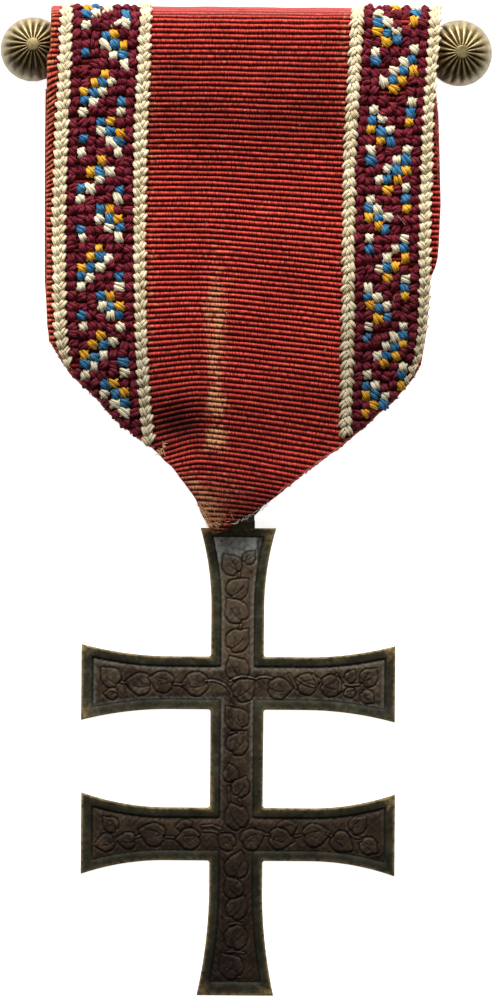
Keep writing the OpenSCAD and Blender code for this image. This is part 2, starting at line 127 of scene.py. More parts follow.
class Graph:
    """The node tree of one material, built round one Principled shader."""

    def __init__(self, name: str, **constants: float | Colour) -> None:
        """Starts a material.

        Args:
            name: The material's name.
            constants: Values for the shader's own sockets, with _ for a blank in their names.
        """
        self.material = bpy.data.materials.new(name)
        self.material.use_nodes = True
        self.tree = self.material.node_tree
        self.shader = self.tree.nodes["Principled BSDF"]
        for key, value in constants.items():
            self.put(self.shader.inputs[key.replace("_", " ")], value)

    def put(self, socket: Socket, value: Value | Colour) -> None:
        """Links an input to a socket, or sets it to a value.

        Args:
            socket: The input.
            value: What it gets.
        """
        if isinstance(value, bpy.types.NodeSocket):
            self.tree.links.new(value, socket)
        elif isinstance(value, tuple) and len(socket.default_value) == 4:
            socket.default_value = (*value, 1.0)
        else:
            socket.default_value = value

    def node(self, kind: str, inputs: dict[str | int, Value | Colour], **settings: str) -> bpy.types.Node:
        """Adds a node.

        Args:
            kind: The end of its type's name.
            inputs: What its inputs get, by their names or numbers.
            settings: Its own settings.

        Returns:
            The node.
        """
        node = self.tree.nodes.new("ShaderNode" + kind)
        for key, setting in settings.items():
            setattr(node, key, setting)
        for key, value in inputs.items():
            self.put(node.inputs[key], value)
        return node

    def place(self, scale: Place = (1.0, 1.0, 1.0), uv: bool = False) -> Socket:
        """The place on the surface.

        Args:
            scale: How much the place is stretched along each axis.
            uv: True for the piece's own UV map, False for its Object coordinates.

        Returns:
            The socket of the place.
        """
        source = self.node("TexCoord", {}).outputs["UV" if uv else "Object"]
        return self.node("Mapping", {"Vector": source, "Scale": scale}).outputs["Vector"]

    def part(self, vector: Socket, axis: str) -> Socket:
        """One axis, X, Y or Z, of a place."""
        return self.node("SeparateXYZ", {0: vector}).outputs[axis]

    def attribute(self, name: str) -> Socket:
        """The value that the mesh carries under a name."""
        return self.node("Attribute", {}, attribute_name=name).outputs["Fac"]

    def noise(self, vector: Socket, scale: float, detail: float = 3.0, rough: float = 0.55) -> Socket:
        """Cloudy values from 0 to 1."""
        inputs = {"Vector": vector, "Scale": scale, "Detail": detail, "Roughness": rough}
        return self.node("TexNoise", inputs).outputs["Fac"]

    def sums(self, operation: str, first: Value, second: Value = 0.0) -> Socket:
        """The result of one step of arithmetic, by its name in the Math node."""
        return self.node("Math", {0: first, 1: second}, operation=operation).outputs[0]

    def plus(self, first: Value, second: Value) -> Socket:
        """The sum of two values."""
        return self.sums("ADD", first, second)

    def times(self, first: Value, second: Value) -> Socket:
        """The product of two values."""
        return self.sums("MULTIPLY", first, second)

    def span(self, value: Socket, low: float, high: float, start: float = 0.0, end: float = 1.0) -> Socket:
        """Turns values from low to high into values from start to end, and holds them there."""
        ends = {"From Min": low, "From Max": high, "To Min": start, "To Max": end}
        return self.node("MapRange", {"Value": value, **ends}).outputs["Result"]

    def ramp(self, value: Socket, stops: list[tuple[float, Colour]]) -> Socket:
        """A colour for each value.

        Args:
            value: The socket of the values.
            stops: Places from 0 to 1, each with its colour.

        Returns:
            The socket of the colour.
        """
        node = self.node("ValToRGB", {"Fac": value})
        elements = node.color_ramp.elements
        while len(elements) < len(stops):
            elements.new(0.5)
        for element, (position, colour) in zip(elements, stops):
            element.position = position
            element.color = (*colour, 1.0)
        return node.outputs["Color"]

    def mix(self, share: Value, first: Tint, second: Tint, blend: str = "MIX") -> Socket:
        """Two colours mixed by the share of the second one."""
        # The places of the share and the colours among the node's inputs, and of its colour output
        inputs = {0: share, 6: first, 7: second}
        return self.node("Mix", inputs, data_type="RGBA", blend_type=blend).outputs[2]

    def shaded(self, colour: Socket, value: Socket) -> Socket:
        """A colour made darker or lighter by a value."""
        grey = self.node("CombineColor", {"Red": value, "Green": value, "Blue": value})
        return self.mix(1.0, colour, grey.outputs["Color"], "MULTIPLY")

    def bump(self, height: Socket, depth_mm: float, strength: float = 1.0) -> None:
        """Gives the shader fine relief of a depth."""
        relief = self.node("Bump", {"Strength": strength, "Distance": depth_mm * MM, "Height": height})
        self.put(self.shader.inputs["Normal"], relief.outputs["Normal"])

    def colour(self, value: Socket) -> None:
        """Gives the shader its colour."""
        self.put(self.shader.inputs["Base Color"], value)

    def roughness(self, value: Socket) -> None:
        """Gives the shader its roughness."""
        self.put(self.shader.inputs["Roughness"], value)


@dataclass(frozen=True)
class RepSilk:
    """Ribbed red silk, with painted light and shade over each rib: bright on the ribs and dark between them;
    faded where it is worn.
    """

    gap: Colour = (0.052, 0.0042, 0.0026)
    flank: Colour = (0.23, 0.0165, 0.011)
    crest: Colour = (0.585, 0.058, 0.042)
    faded: Colour = (0.70, 0.35, 0.165)
    edge: Colour = (0.66, 0.13, 0.06)
    # The painted highlight along the top of the fold
    fold_highlight: Colour = (0.60, 0.13, 0.115)
    # Under the stitch bands: the thread under them, darkened by painted shade between the stitches
    thread_and_shade_under_stitches: Colour = (0.035, 0.003, 0.007)
    # How dense each pattern lies on the UV map, across and along
    rib_scale: Place = (1000.0, 1000.0, 1.0)
    thread_scale: Place = (6500.0, 900.0, 1.0)
    sway_scale: Place = (500.0, 1900.0, 1.0)
    cloud_scale: Place = (160.0, 60.0, 1.0)
    patch_scale: Place = (1300.0, 1500.0, 1.0)

    def material(self) -> Material:
        """The silk, on a UV map that runs in mm across and in ribs along.

        Returns:
            The material.
        """
        graph = Graph("rep_silk", Roughness=0.85, Specular_IOR_Level=0.08)
        rib = graph.part(graph.place(self.rib_scale, uv=True), "Y")
        threads = graph.noise(graph.place(self.thread_scale, uv=True), 1.0, 2.0)
        sway = graph.noise(graph.place(self.sway_scale, uv=True), 1.0, 2.0)
        clouds = graph.noise(graph.place(self.cloud_scale, uv=True), 1.0, 3.0)
        phase = graph.sums("FRACT", graph.plus(rib, graph.span(sway, 0.2, 0.8, -0.07, 0.07)))
        base = graph.ramp(phase, self.rib_stops())
        value = graph.span(threads, 0.34, 0.66, 0.3, 1.5)
        value = graph.times(value, graph.span(clouds, 0.3, 0.7, 0.8, 1.15))
        value = graph.times(value, graph.span(sway, 0.3, 0.7, 0.8, 1.15))
        value = graph.times(value, graph.attribute("light"))
        base = graph.shaded(base, value)
        heights = ((0.08, 0.2), (0.2, 1.0), (0.5, 0.8), (0.8, 0.1))
        on_top = graph.ramp(phase, [(where, (height,) * 3) for where, height in heights])
        base = graph.mix(self.worn_share(graph, threads, on_top), base, self.faded)
        base = graph.mix(graph.times(graph.attribute("edge"), on_top), base, self.edge)
        # A painted highlight along the top of the fold
        base = graph.mix(graph.attribute("fold_highlight"), base, self.fold_highlight)
        # Darker under the stitch bands: the thread under them and painted shade between the stitches
        base = graph.mix(graph.attribute("covered_and_shaded"), base, self.thread_and_shade_under_stitches)
        graph.colour(graph.shaded(base, graph.span(graph.attribute("shade"), 0.0, 1.0, 1.0, 0.12)))
        graph.bump(threads, 0.05, 0.6)
        return graph.material

    def rib_stops(self) -> list[tuple[float, Colour]]:
        """The painted light and shade over one rib: from the dark gap to the bright crest, and down the flank
        in shade.
        """
        gap, crest, flank = self.gap, self.crest, self.flank
        return [(0.05, gap), (0.17, crest), (0.34, crest), (0.48, flank), (0.72, gap), (1.0, gap)]

    def worn_share(self, graph: Graph, threads: Socket, on_top: Socket) -> Socket:
        """How faded the cloth is: in patches, on the tops of the ribs, thread by thread.

        Args:
            graph: The node tree.
            threads: The noise of the single threads.
            on_top: How high on its rib a place lies.

        Returns:
            The socket of the share.
        """
        patches = graph.noise(graph.place(self.patch_scale, uv=True), 1.0, 2.0)
        worn = graph.plus(graph.attribute("worn"), graph.span(patches, 0.2, 0.8, -0.6, 0.6))
        worn = graph.times(graph.span(worn, 0.25, 0.85), on_top)
        return graph.times(worn, graph.span(threads, 0.36, 0.56, 0.15, 1.0))


@dataclass(frozen=True)
class Yarn:
    """Stitching cotton: fibres run along the strand, and the colour varies from strand to strand."""

    name: str
    deep: Colour
    plain: Colour
    bright: Colour
    # How brightly painted light lights the yarn at the foot of the ribbon and at its top
    lit: Pair = (0.66, 1.18)
    # The painted light grows between two lines over the ribbon, which rise to the right
    lit_from: float = 0.032
    lit_to: float = 0.043
    lit_rise: float = 0.17
    # How often the ply goes round a strand, and along it
    rounds: float = 5.0
    turns: float = 1.3

    def material(self) -> Material:
        """The yarn, on a UV map that runs round and along each strand.

        Returns:
            The material.
        """
        graph = Graph(self.name, Roughness=0.85, Specular_IOR_Level=0.12)
        place = graph.place((self.rounds, self.turns, 1.0), uv=True)
        lay = graph.plus(graph.part(place, "X"), graph.part(place, "Y"))
        ply = graph.span(graph.sums("SINE", graph.times(lay, 2 * math.pi)), -1.0, 1.0)
        patches = graph.noise(graph.place((PER_MM,) * 3), 1.1, 4.0, 0.6)
        # The ply adds painted shade in the grooves of its twist; the patches vary the strands' own colour
        tone = graph.plus(graph.times(graph.span(patches, 0.3, 0.7), 0.6), graph.times(ply, 0.4))
        base = graph.ramp(tone, [(0.05, self.deep), (0.5, self.plain), (0.95, self.bright)])
        body = graph.place()
        sideways = graph.times(graph.part(body, "X"), self.lit_rise)
        height = graph.sums("SUBTRACT", graph.part(body, "Y"), sideways)
        graph.colour(graph.shaded(base, graph.span(height, self.lit_from, self.lit_to, *self.lit)))
        graph.bump(ply, 0.05, 0.8)
        return graph.material


@dataclass(frozen=True)
class Patina:
    """Bronze under a dark patina, with grime in what is cut in and bare metal where it is worn."""

    name: str
    dark: Colour
    plain: Colour
    light: Colour
    bare: Colour = (0.30, 0.21, 0.085)
    grime: Colour = (0.006, 0.004, 0.003)
    cool_and_glint: Colour = (0.36, 0.37, 0.34)
    warm: Colour = (0.10, 0.055, 0.024)
    metal: float = 0.2
    # How fine the noises are, to a mm
    stain_scale: float = 0.42
    cloud_scale: float = 0.6
    blot_scale: float = 2.2
    grain_scale: float = 7.0

    def material(self) -> Material:
        """The patina, with the values cut, worn, cool_and_glint and tone from the mesh; tone and
        cool_and_glint carry painted light and shade as well.

        Returns:
            The material.
        """
        graph = Graph(self.name, Metallic=self.metal, Specular_IOR_Level=0.15)
        place = graph.place((PER_MM,) * 3)
        clouds = graph.noise(place, self.cloud_scale, 5.0, 0.6)
        blots = graph.noise(place, self.blot_scale, 3.0, 0.6)
        grain = graph.noise(place, self.grain_scale, 3.0, 0.6)
        tone = graph.span(clouds, 0.3, 0.7, 0.36, 0.64)
        tone = graph.plus(tone, graph.span(blots, 0.3, 0.7, -0.1, 0.1))
        tone = graph.plus(tone, graph.span(grain, 0.3, 0.7, -0.06, 0.06))
        tone = graph.plus(tone, graph.attribute("tone"))
        base = graph.ramp(tone, [(0.25, self.dark), (0.5, self.plain), (0.75, self.light)])
        tints = graph.noise(place, self.stain_scale, 3.0, 0.55)
        base = graph.mix(graph.span(tints, 0.5, 0.68, 0.0, 0.4), base, graph.mix(0.5, base, self.warm))
        # Grey-blue patina, and painted glints along the first stalks
        cool_and_glint = graph.times(graph.attribute("cool_and_glint"), graph.span(blots, 0.35, 0.62, 0.4, 1.0))
        base = graph.mix(cool_and_glint, base, self.cool_and_glint)
        worn = graph.times(graph.attribute("worn"), graph.span(blots, 0.35, 0.6, 0.2, 1.0))
        base = graph.mix(worn, base, self.bare)
        graph.colour(graph.mix(graph.attribute("cut"), base, self.grime))
        graph.roughness(graph.span(grain, 0.2, 0.8, 0.55, 0.72))
        graph.bump(grain, 0.03, 0.6)
        return graph.material


@dataclass(frozen=True)
class AgedBrass:
    """Brass that is dark in its hollows, light on its ridges and dusty at its rim; the mesh's values also
    carry painted light on its upper half and painted shade on its lower half.
    """

    name: str
    hollow: Colour = (0.058, 0.045, 0.021)
    plain: Colour = (0.265, 0.20, 0.088)
    ridge: Colour = (0.61, 0.48, 0.25)
    dull: Colour = (0.42, 0.355, 0.25)

    def material(self) -> Material:
        """The brass, with the values ridge and dust from the mesh.

        Returns:
            The material.
        """
        graph = Graph(self.name, Metallic=0.9)
        place = graph.place((PER_MM,) * 3)
        clouds = graph.noise(place, 1.4, 4.0, 0.65)
        grain = graph.noise(place, 9.0, 2.0)
        tone = graph.plus(graph.attribute("ridge"), graph.span(clouds, 0.3, 0.7, -0.22, 0.18))
        base = graph.ramp(tone, [(0.05, self.hollow), (0.5, self.plain), (0.95, self.ridge)])
        dust = graph.times(graph.attribute("dust"), graph.span(clouds, 0.3, 0.65, 0.25, 0.75))
        graph.colour(graph.mix(dust, base, self.dull))
        graph.roughness(graph.span(clouds, 0.3, 0.7, 0.38, 0.55))
        graph.bump(grain, 0.01, 0.4)
        return graph.material


@dataclass(frozen=True)
class PlainMetal:
    """Metal of one colour with soft stains, for the wire and the hidden hardware."""

    name: str
    dark: Colour
    light: Colour

    def material(self) -> Material:
        """The metal on Object coordinates.

        Returns:
            The material.
        """
        graph = Graph(self.name, Metallic=0.9)
        place = graph.place((PER_MM,) * 3)
        tints = graph.noise(place, 0.7, 5.0, 0.6)
        graph.colour(graph.ramp(tints, [(0.35, self.dark), (0.65, self.light)]))
        graph.roughness(graph.span(tints, 0.3, 0.7, 0.5, 0.35))
        graph.bump(graph.noise(place, 8.0, 2.0), 0.01, 0.4)
        return graph.material


class Thread(Enum):
    """The stitching threads: their letter in a chart, their name and their finish."""

    MAROON = (".", "thread_maroon", (0.032, 0.0024, 0.006), (0.138, 0.011, 0.0215), (0.275, 0.04, 0.052))
    BLUE = ("B", "thread_blue", (0.008, 0.045, 0.11), (0.030, 0.145, 0.29), (0.12, 0.32, 0.50))
    YELLOW = ("Y", "thread_yellow", (0.30, 0.12, 0.008), (0.72, 0.34, 0.02), (0.92, 0.55, 0.10))
    CREAM = ("C", "thread_cream", (0.38, 0.31, 0.17), (0.80, 0.70, 0.48), (0.97, 0.92, 0.75))

    @property
    def letter(self) -> str:
        """The thread's letter in a chart."""
        return self.value[0]

    @property
    def slot(self) -> str:
        """The thread's name, which its material also takes."""
        return self.value[1]

    def yarn(self) -> Yarn:
        """The thread's finish."""
        return Yarn(self.value[1], *self.value[2:])


class Side(Enum):
    """The side of the ribbon that a strip lies on."""

    LEFT = -1
    RIGHT = 1


class Lean(Enum):
    """The way in which the lobes of a braid point."""

    DOWN = -1
    UP = 1


def make_object(name: str, shape: Shape, material: Material) -> Piece:
    """Makes an object at the origin of a mesh in mm.

    Args:
        name: The object's name.
        shape: The mesh in mm, in the row frame; it is freed.
        material: Its material.

    Returns:
        The object.
    """
    mesh = bpy.data.meshes.new(name)
    shape.to_mesh(mesh)
    shape.free()
    mesh.transform(Matrix.Scale(MM, 4))
    mesh.materials.append(material)
    made = bpy.data.objects.new(name, mesh)
    bpy.context.scene.collection.objects.link(made)
    return made


def finish_piece(name: str, shape: Shape, material: Material, nodes: list[str]) -> Piece:
    """Makes an object of a mesh in mm, hangs it on the root body and hides the CAD nodes that it stands for.

    Args:
        name: The piece's name.
        shape: The mesh in mm, in the row frame; it is freed.
        material: Its material.
        nodes: The CAD nodes that it stands for.

    Returns:
        The piece.
    """
    piece = make_object(name, shape, material)
    faces = piece.data.polygons
    faces.foreach_set("use_smooth", [True] * len(faces))
    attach(piece, "root")
    if nodes:
        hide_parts(*nodes)
    log.info("%s: %d faces", name, len(faces))
    return piece


def write_values(shape: Shape, values: dict[str, Array]) -> None:
    """Writes named values into a mesh.

    Args:
        shape: The mesh.
        values: For each name, a value for each vertex.
    """
    for name, column in values.items():
        layer = shape.verts.layers.float.new(name)
        for vertex, value in zip(shape.verts, column):
            vertex[layer] = float(value)


def round_rims(shape: Shape, verts: list[Vertex], offset: float) -> None:
    """Rounds the sharp edges of a body.

    Args:
        shape: The mesh.
        verts: The body's vertices.
        offset: How far the rounding reaches from the edge.
    """
    sharp = 1.0
    edges = dict.fromkeys(edge for vertex in verts for edge in vertex.link_edges)
    rims = [edge for edge in edges if edge.calc_face_angle(0) > sharp]
    bmesh.ops.bevel(
        shape, geom=rims, offset=offset, offset_type="OFFSET", segments=3, profile=0.5,
        affect="EDGES", material=-1,
    )


@dataclass
class Belt:
    """The course of the cloth: over the bar, down the front, through the ring and up the back.

    All sizes are in mm, in the row frame.
    """

    top_y: float = 65.7
    top_z: float = 3.5
    top_r: float = 1.7
    tip_y: float = 16.0
    tip_z: float = 3.2
    tip_r: float = 0.55
    half: float = 0.5
    rib: float = 0.525
    lines_per_rib: int = 5
    fold_drop: float = 0.4
    # Height along the cross, height over the floor, left end, right end
    front: Table = (
        (65.7, 5.2, -19.1, 19.5), (63.2, 5.2, -19.1, 19.4), (62.4, 5.2, -19.45, 19.35),
        (61.5, 5.2, -19.45, 19.25), (59.9, 5.15, -19.45, 19.2), (58.2, 5.05, -19.45, 19.4),
        (57, 4.95, -19.45, 19.6), (53.5, 4.6, -19.45, 19.75), (48, 4, -19.45, 19.93),
        (43.9, 3.58, -19.4, 19.78), (42.6, 3.46, -19.4, 19.68), (41.5, 3.36, -19.4, 19.4),
        (40.6, 3.28, -19.38, 18.95), (37.9, 3.07, -19.37, 18.83), (35.5, 2.93, -19.25, 18.65),
        (34, 2.85, -19, 18.45), (32.8, 2.81, -18.25, 18.25), (31.9, 2.8, -17.75, 18.1),
        (30.6, 2.78, -16.8, 17.38), (29.4, 2.78, -15.5, 16.4), (28.2, 2.8, -14.15, 15.35),
        (27, 2.81, -13.2, 13.9), (25.8, 2.84, -11.95, 12.7), (24.6, 2.9, -10.4, 11.2),
        (23.4, 2.96, -8.65, 9.85), (22.8, 3, -8, 8.9), (22.2, 3.05, -7.45, 8.2), (21.4, 3.1, -6.55, 7.1),
        (20.6, 3.2, -5.97, 6.05), (19.3, 3.35, -4.97, 4.5), (18.3, 3.5, -4.27, 3.28),
        (17.5, 3.63, -3.95, 2.2), (16.8, 3.72, -3.65, 1.1), (16, 3.75, -3.2, -0.5),
    )
    # Height along the cross, height over the floor, direction of the outer face, left, right
    back: Table = (
        (16, 2.65, 270, -2.95, -0.9), (17.2, 2.45, 252, -2.1, 0.7), (18.1, 2, 242, -1.75, 1.2),
        (19.07, 1.47, 242, -1.75, 1.25), (20, 1.02, 247, -1.75, 1.25), (20.9, 0.7, 260, -1.75, 1.25),
        (21.6, 0.65, 270, -2.8, 2.4), (22.3, 0.65, 270, -4.6, 4.6), (23.4, 0.65, 270, -8, 8.9),
        (25.5, 0.65, 270, -11, 11.8), (28.4, 0.65, 270, -14, 15), (31.2, 0.65, 270, -16.8, 17.5),
        (34, 0.65, 270, -19.1, 18.35), (40, 0.68, 270, -19.55, 18.75), (42, 0.7, 270, -19.58, 19.4),
        (48.2, 0.95, 270, -19.62, 19.85), (54, 1.35, 270, -19.64, 19.7), (59.2, 1.75, 270, -19.6, 19.4),
        (59.6, 1.78, 270, -17.2, 18),
    )
    # Round the top fold and round the tip: direction of the outer face, left end, right end
    top_ends: Table = (
        (-90, -17.2, 18), (-60, -17.8, 18.6), (-30, -19, 19.5), (0, -19.1, 19.6), (90, -19.1, 19.5),
    )
    tip_ends: Table = (
        (90, -3.2, -0.5), (135, -2.95, -1.2), (180, -2.6, -1.95), (225, -2.85, -1.5), (270, -2.95, -0.9),
    )
    # The ribs run level at the crown, fall to the right by the slopes and rise to the left by the
    # rises, each given by the height along the cross
    crown: float = -4.0
    right_reach: float = 15.0
    right_round: float = 3.0
    left_reach: float = 5.5
    left_round: float = 1.5
    slopes: Table = (
        (16, 0.05), (18, 0.15), (22, 0.19), (30, 0.125), (44, 0.093), (52, 0.05), (60, 0.02), (66, 0),
    )
    rises: Table = (
        (19, 0), (22, 0.3), (24, 0.36), (28, 0.23), (33, 0.1), (40, 0.02), (46, 0),
    )
    # The left margin droops, from this place outwards
    droop: float = 0.75
    droop_from: float = -18.2
    # Height and length of the soft folds, the swell that carries them, and the dent at the lower left
    fold_height: float = 0.11
    fold_length: float = 19.0
    swelling: Spot = Spot(0.6, 43.0, 8.6, 19.0, 1.0)
    dent: Spot = Spot(-6.2, 25.5, 4.6, 2.8, 0.3)

    def __post_init__(self) -> None:
        """Turns the tables into columns that rise along the cross."""
        rows = np.array(self.front[::-1], float)
        self.front_y, self.front_z, self.front_left, self.front_right = rows.T

    def height(self, y: Array) -> Array:
        """The middle of the front cloth over the floor, at heights along the cross."""
        return np.interp(y, self.front_y, self.front_z)

    def end(self, side: Side, y: Array) -> Array:
        """The left or right end of the front cloth, at heights along the cross."""
        return np.interp(y, self.front_y, self.front_left if side is Side.LEFT else self.front_right)

    def thin(self, looks: Array) -> Array:
        """How much thinner the cloth is round the top fold, by the direction of its outer face."""
        return self.fold_drop * smooth(90.0, 45.0, np.abs(looks))

    def wave(self, x: Array, y: Array) -> Array:
        """How far the ribs run off a level line.

        Args:
            x: Places across.
            y: Places along the cross.

        Returns:
            The way up from the line, in mm.
        """
        right = np.clip(x - self.crown, 0, self.right_reach)
        left = np.clip(self.crown - x, 0, self.left_reach)
        slope = np.interp(y, *np.array(self.slopes).T)
        rise = np.interp(y, *np.array(self.rises).T)
        droop = self.droop * np.clip(self.droop_from - x, 0, None)
        droop = droop * smooth(63.0, 58.5, y) * smooth(46.0, 53.0, y)
        fall = slope * right**2 / (right + self.right_round)
        return -fall - rise * left**2 / (left + self.left_round) - droop

    def swell(self, x: Array, y: Array) -> Array:
        """The soft swell of the red field, less the dent at its lower left."""
        folds = self.fold_height * (1 + np.cos(2 * math.pi * y / self.fold_length))
        return self.swelling.at(x, y) * folds - self.dent.at(x, y)

    def turn_over(
        self, centre: Pair, radius: float, directions: Array, ends: Table
    ) -> list[tuple[float, ...]]:
        """Lines across the belt where it bends round something.

        Args:
            centre: The middle of the bend: height along the cross and over the floor.
            radius: The radius of the bend at the middle of the cloth.
            directions: The directions of the outer face at the lines.
            ends: The left and right ends by direction.

        Returns:
            A row for each line, as stations has them, but without the rib number.
        """
        turns, lefts, rights = np.array(ends, float).T
        rows: list[tuple[float, ...]] = []
        for looks in directions:
            angle = math.radians(looks)
            y = centre[0] + radius * math.cos(angle)
            z = centre[1] + radius * math.sin(angle)
            rows.append((y, z, looks, np.interp(looks, turns, lefts), np.interp(looks, turns, rights)))
        return rows

    def stations(self) -> Array:
        """The lines across the belt, one a row: rib number, y, z, outer direction, left, right.

        Returns:
            An array with a row for each line, a fixed number to a rib, and a whole number of ribs.
        """
        rows = self.turn_over((self.top_y, self.top_z), self.top_r, np.arange(-90, 90, 5.0), self.top_ends)
        rows += [(y, z, 90, left, right) for y, z, left, right in self.front]
        rows += self.turn_over((self.tip_y, self.tip_z), self.tip_r, np.arange(100, 270, 10.0), self.tip_ends)
        rows += list(self.back)
        # The last line meets the first one under the bar
        rows.append((self.top_y, self.top_z - self.top_r, 270, *self.top_ends[0][1:]))
        table = np.array(rows, float)
        outer_y = table[:, 0] + self.half * np.cos(np.radians(table[:, 2]))
        outer_z = table[:, 1] + self.half * np.sin(np.radians(table[:, 2]))
        steps = np.hypot(np.diff(outer_y), np.diff(outer_z))
        run = np.concatenate([[0.0], np.cumsum(steps)])
        ribs = round(run[-1] / self.rib)
        count = ribs * self.lines_per_rib + 1
        wanted = np.linspace(0, run[-1], count)
        number = np.linspace(0, ribs, count)
        return np.column_stack([number] + [np.interp(wanted, run, column) for column in table.T])

    def face(self, x: float, way: float, lift: float) -> tuple[Vector, Matrix]:
        """A place on the front face, and the directions there.

        Args:
            x: The place across.
            way: The height along the cross; past the top fold it goes on round the fold.
            lift: How far the place is lifted off the face.

        Returns:
            The point, and a matrix with the directions across, up the cloth and outwards.
        """
        radius = self.top_r + self.half
        if way > self.top_y:
            angle = (way - self.top_y) / radius
            radius -= float(self.thin(np.float64(90 - math.degrees(angle))))
            out = Vector((0, math.sin(angle), math.cos(angle)))
            along = Vector((0, math.cos(angle), -math.sin(angle)))
            point = Vector((x, self.top_y, self.top_z)) + out * (radius + lift)
        else:
            step = 0.4
            rise = float(self.height(way + step) - self.height(way - step)) / (2 * step)
            along = Vector((0, 1, rise)).normalized()
            out = Vector((0, -rise, 1)).normalized()
            z = float(self.height(way)) + self.half + float(self.swell(np.float64(x), np.float64(way)))
            point = Vector((x, way, z)) + out * lift
        return point, Matrix((Vector((1, 0, 0)), along, out)).transposed()


@dataclass
class Strip:
    """A strip that is sewn on the front of the ribbon, up to its top over the fold."""

    side: Side
    # Height along the cross, left edge, right edge
    edges: list[Place]
    top: float = 67.9
    margin: float = 0.12

    def __post_init__(self) -> None:
        """Turns the table into columns that rise along the cross."""
        rows = np.array(self.edges[::-1], float)
        self.way, self.lefts, self.rights = rows.T

    def span(self, way: float) -> Pair:
        """The left and right edge at a height along the cross."""
        return float(np.interp(way, self.way, self.lefts)), float(np.interp(way, self.way, self.rights))

    def covers(self, x: Array, y: Array) -> Array:
        """Whether places lie under the strip."""
        low, high = np.interp(y, self.way, self.lefts), np.interp(y, self.way, self.rights)
        return (x > low) & (x < high)

    def inside(self, belt: Belt, x: float, way: float, spare: float) -> bool:
        """Whether a place lies on the cloth, with some room to its slanting end."""
        end = float(belt.end(self.side, way)) - self.side.value * (self.margin + spare)
        return self.side.value * (end - x) > 0


LEFT_OUTER = Strip(
    Side.LEFT,
    [(67.1, -18.05, -16.95), (60, -18.3, -17.05), (55, -18.56, -17.26),
     (46, -18.8, -17.52), (38, -18.62, -17.4), (35, -18.5, -17.35),
     (33.3, -18.15, -17.2), (32.3, -17.7, -16.95), (31.2, -17.15, -16.65)],
)
LEFT_BAND = Strip(
    Side.LEFT,
    [(67.1, -16.9, -10.25), (60, -17, -10.55), (55, -17.2, -10.8),
     (46, -17.4, -10.8), (38, -17.25, -10.6), (33, -17, -10.3), (29, -16.85, -10.05), (24, -16.75, -9.65)],
)
LEFT_INNER = Strip(
    Side.LEFT,
    [(67.1, -10.2, -9.05), (60, -10.5, -9.2), (55, -10.75, -9.36),
     (46, -10.75, -9.5), (38, -10.55, -9.4), (33, -10.4, -9.22), (30, -10.2, -9.05),
     (27, -9.93, -8.78), (23, -9.45, -8.3)],
)
RIGHT_INNER = Strip(
    Side.RIGHT,
    [(67.1, 10.85, 12.1), (60, 10.5, 11.8), (52.4, 10.17, 11.4),
     (44, 10.13, 11.38), (38, 10.15, 11.45), (31, 10.1, 11.38), (23, 10.0, 11.15)],
)
RIGHT_BAND = Strip(
    Side.RIGHT,
    [(67.1, 12.15, 18.6), (60, 11.85, 18.4), (52.4, 11.45, 17.85),
     (44, 11.43, 17.8), (38, 11.5, 17.75), (31, 11.42, 17.6), (24, 11.15, 17.15)],
)
RIGHT_OUTER = Strip(
    Side.RIGHT,
    [(67.1, 18.65, 19.85), (63.3, 18.45, 19.65), (61.4, 18.35, 19.4), (57, 18, 19.15), (51, 17.9, 19.05),
     (46, 17.75, 18.9), (40, 17.85, 18.95), (35.4, 17.75, 18.65), (33.6, 17.5, 18.4), (32, 17.15, 17.95),
     (30.8, 16.6, 17.3), (30, 16.15, 16.75)],
)


def on_front(looks: Array) -> Array:
    """Whether places lie on the front of the cloth, by the direction of its outer face."""
    return np.abs(looks - 90) < 1e-6


def wave_share(looks: Array) -> Array:
    """How much of their wave the ribs keep: all of it in front, none at the back."""
    return np.interp(looks, [-90, 0, 90, 270], [0, 1, 1, 0])


@dataclass
class Cloth:
    """The places of the ribbon's grid in mm: across, along the cross and over the floor.

    Each has its rib's number, the direction of the outer face, and its way to the nearer end across.
    """

    x: Array
    y: Array
    z: Array
    rib: Array
    looks: Array
    from_end: Array


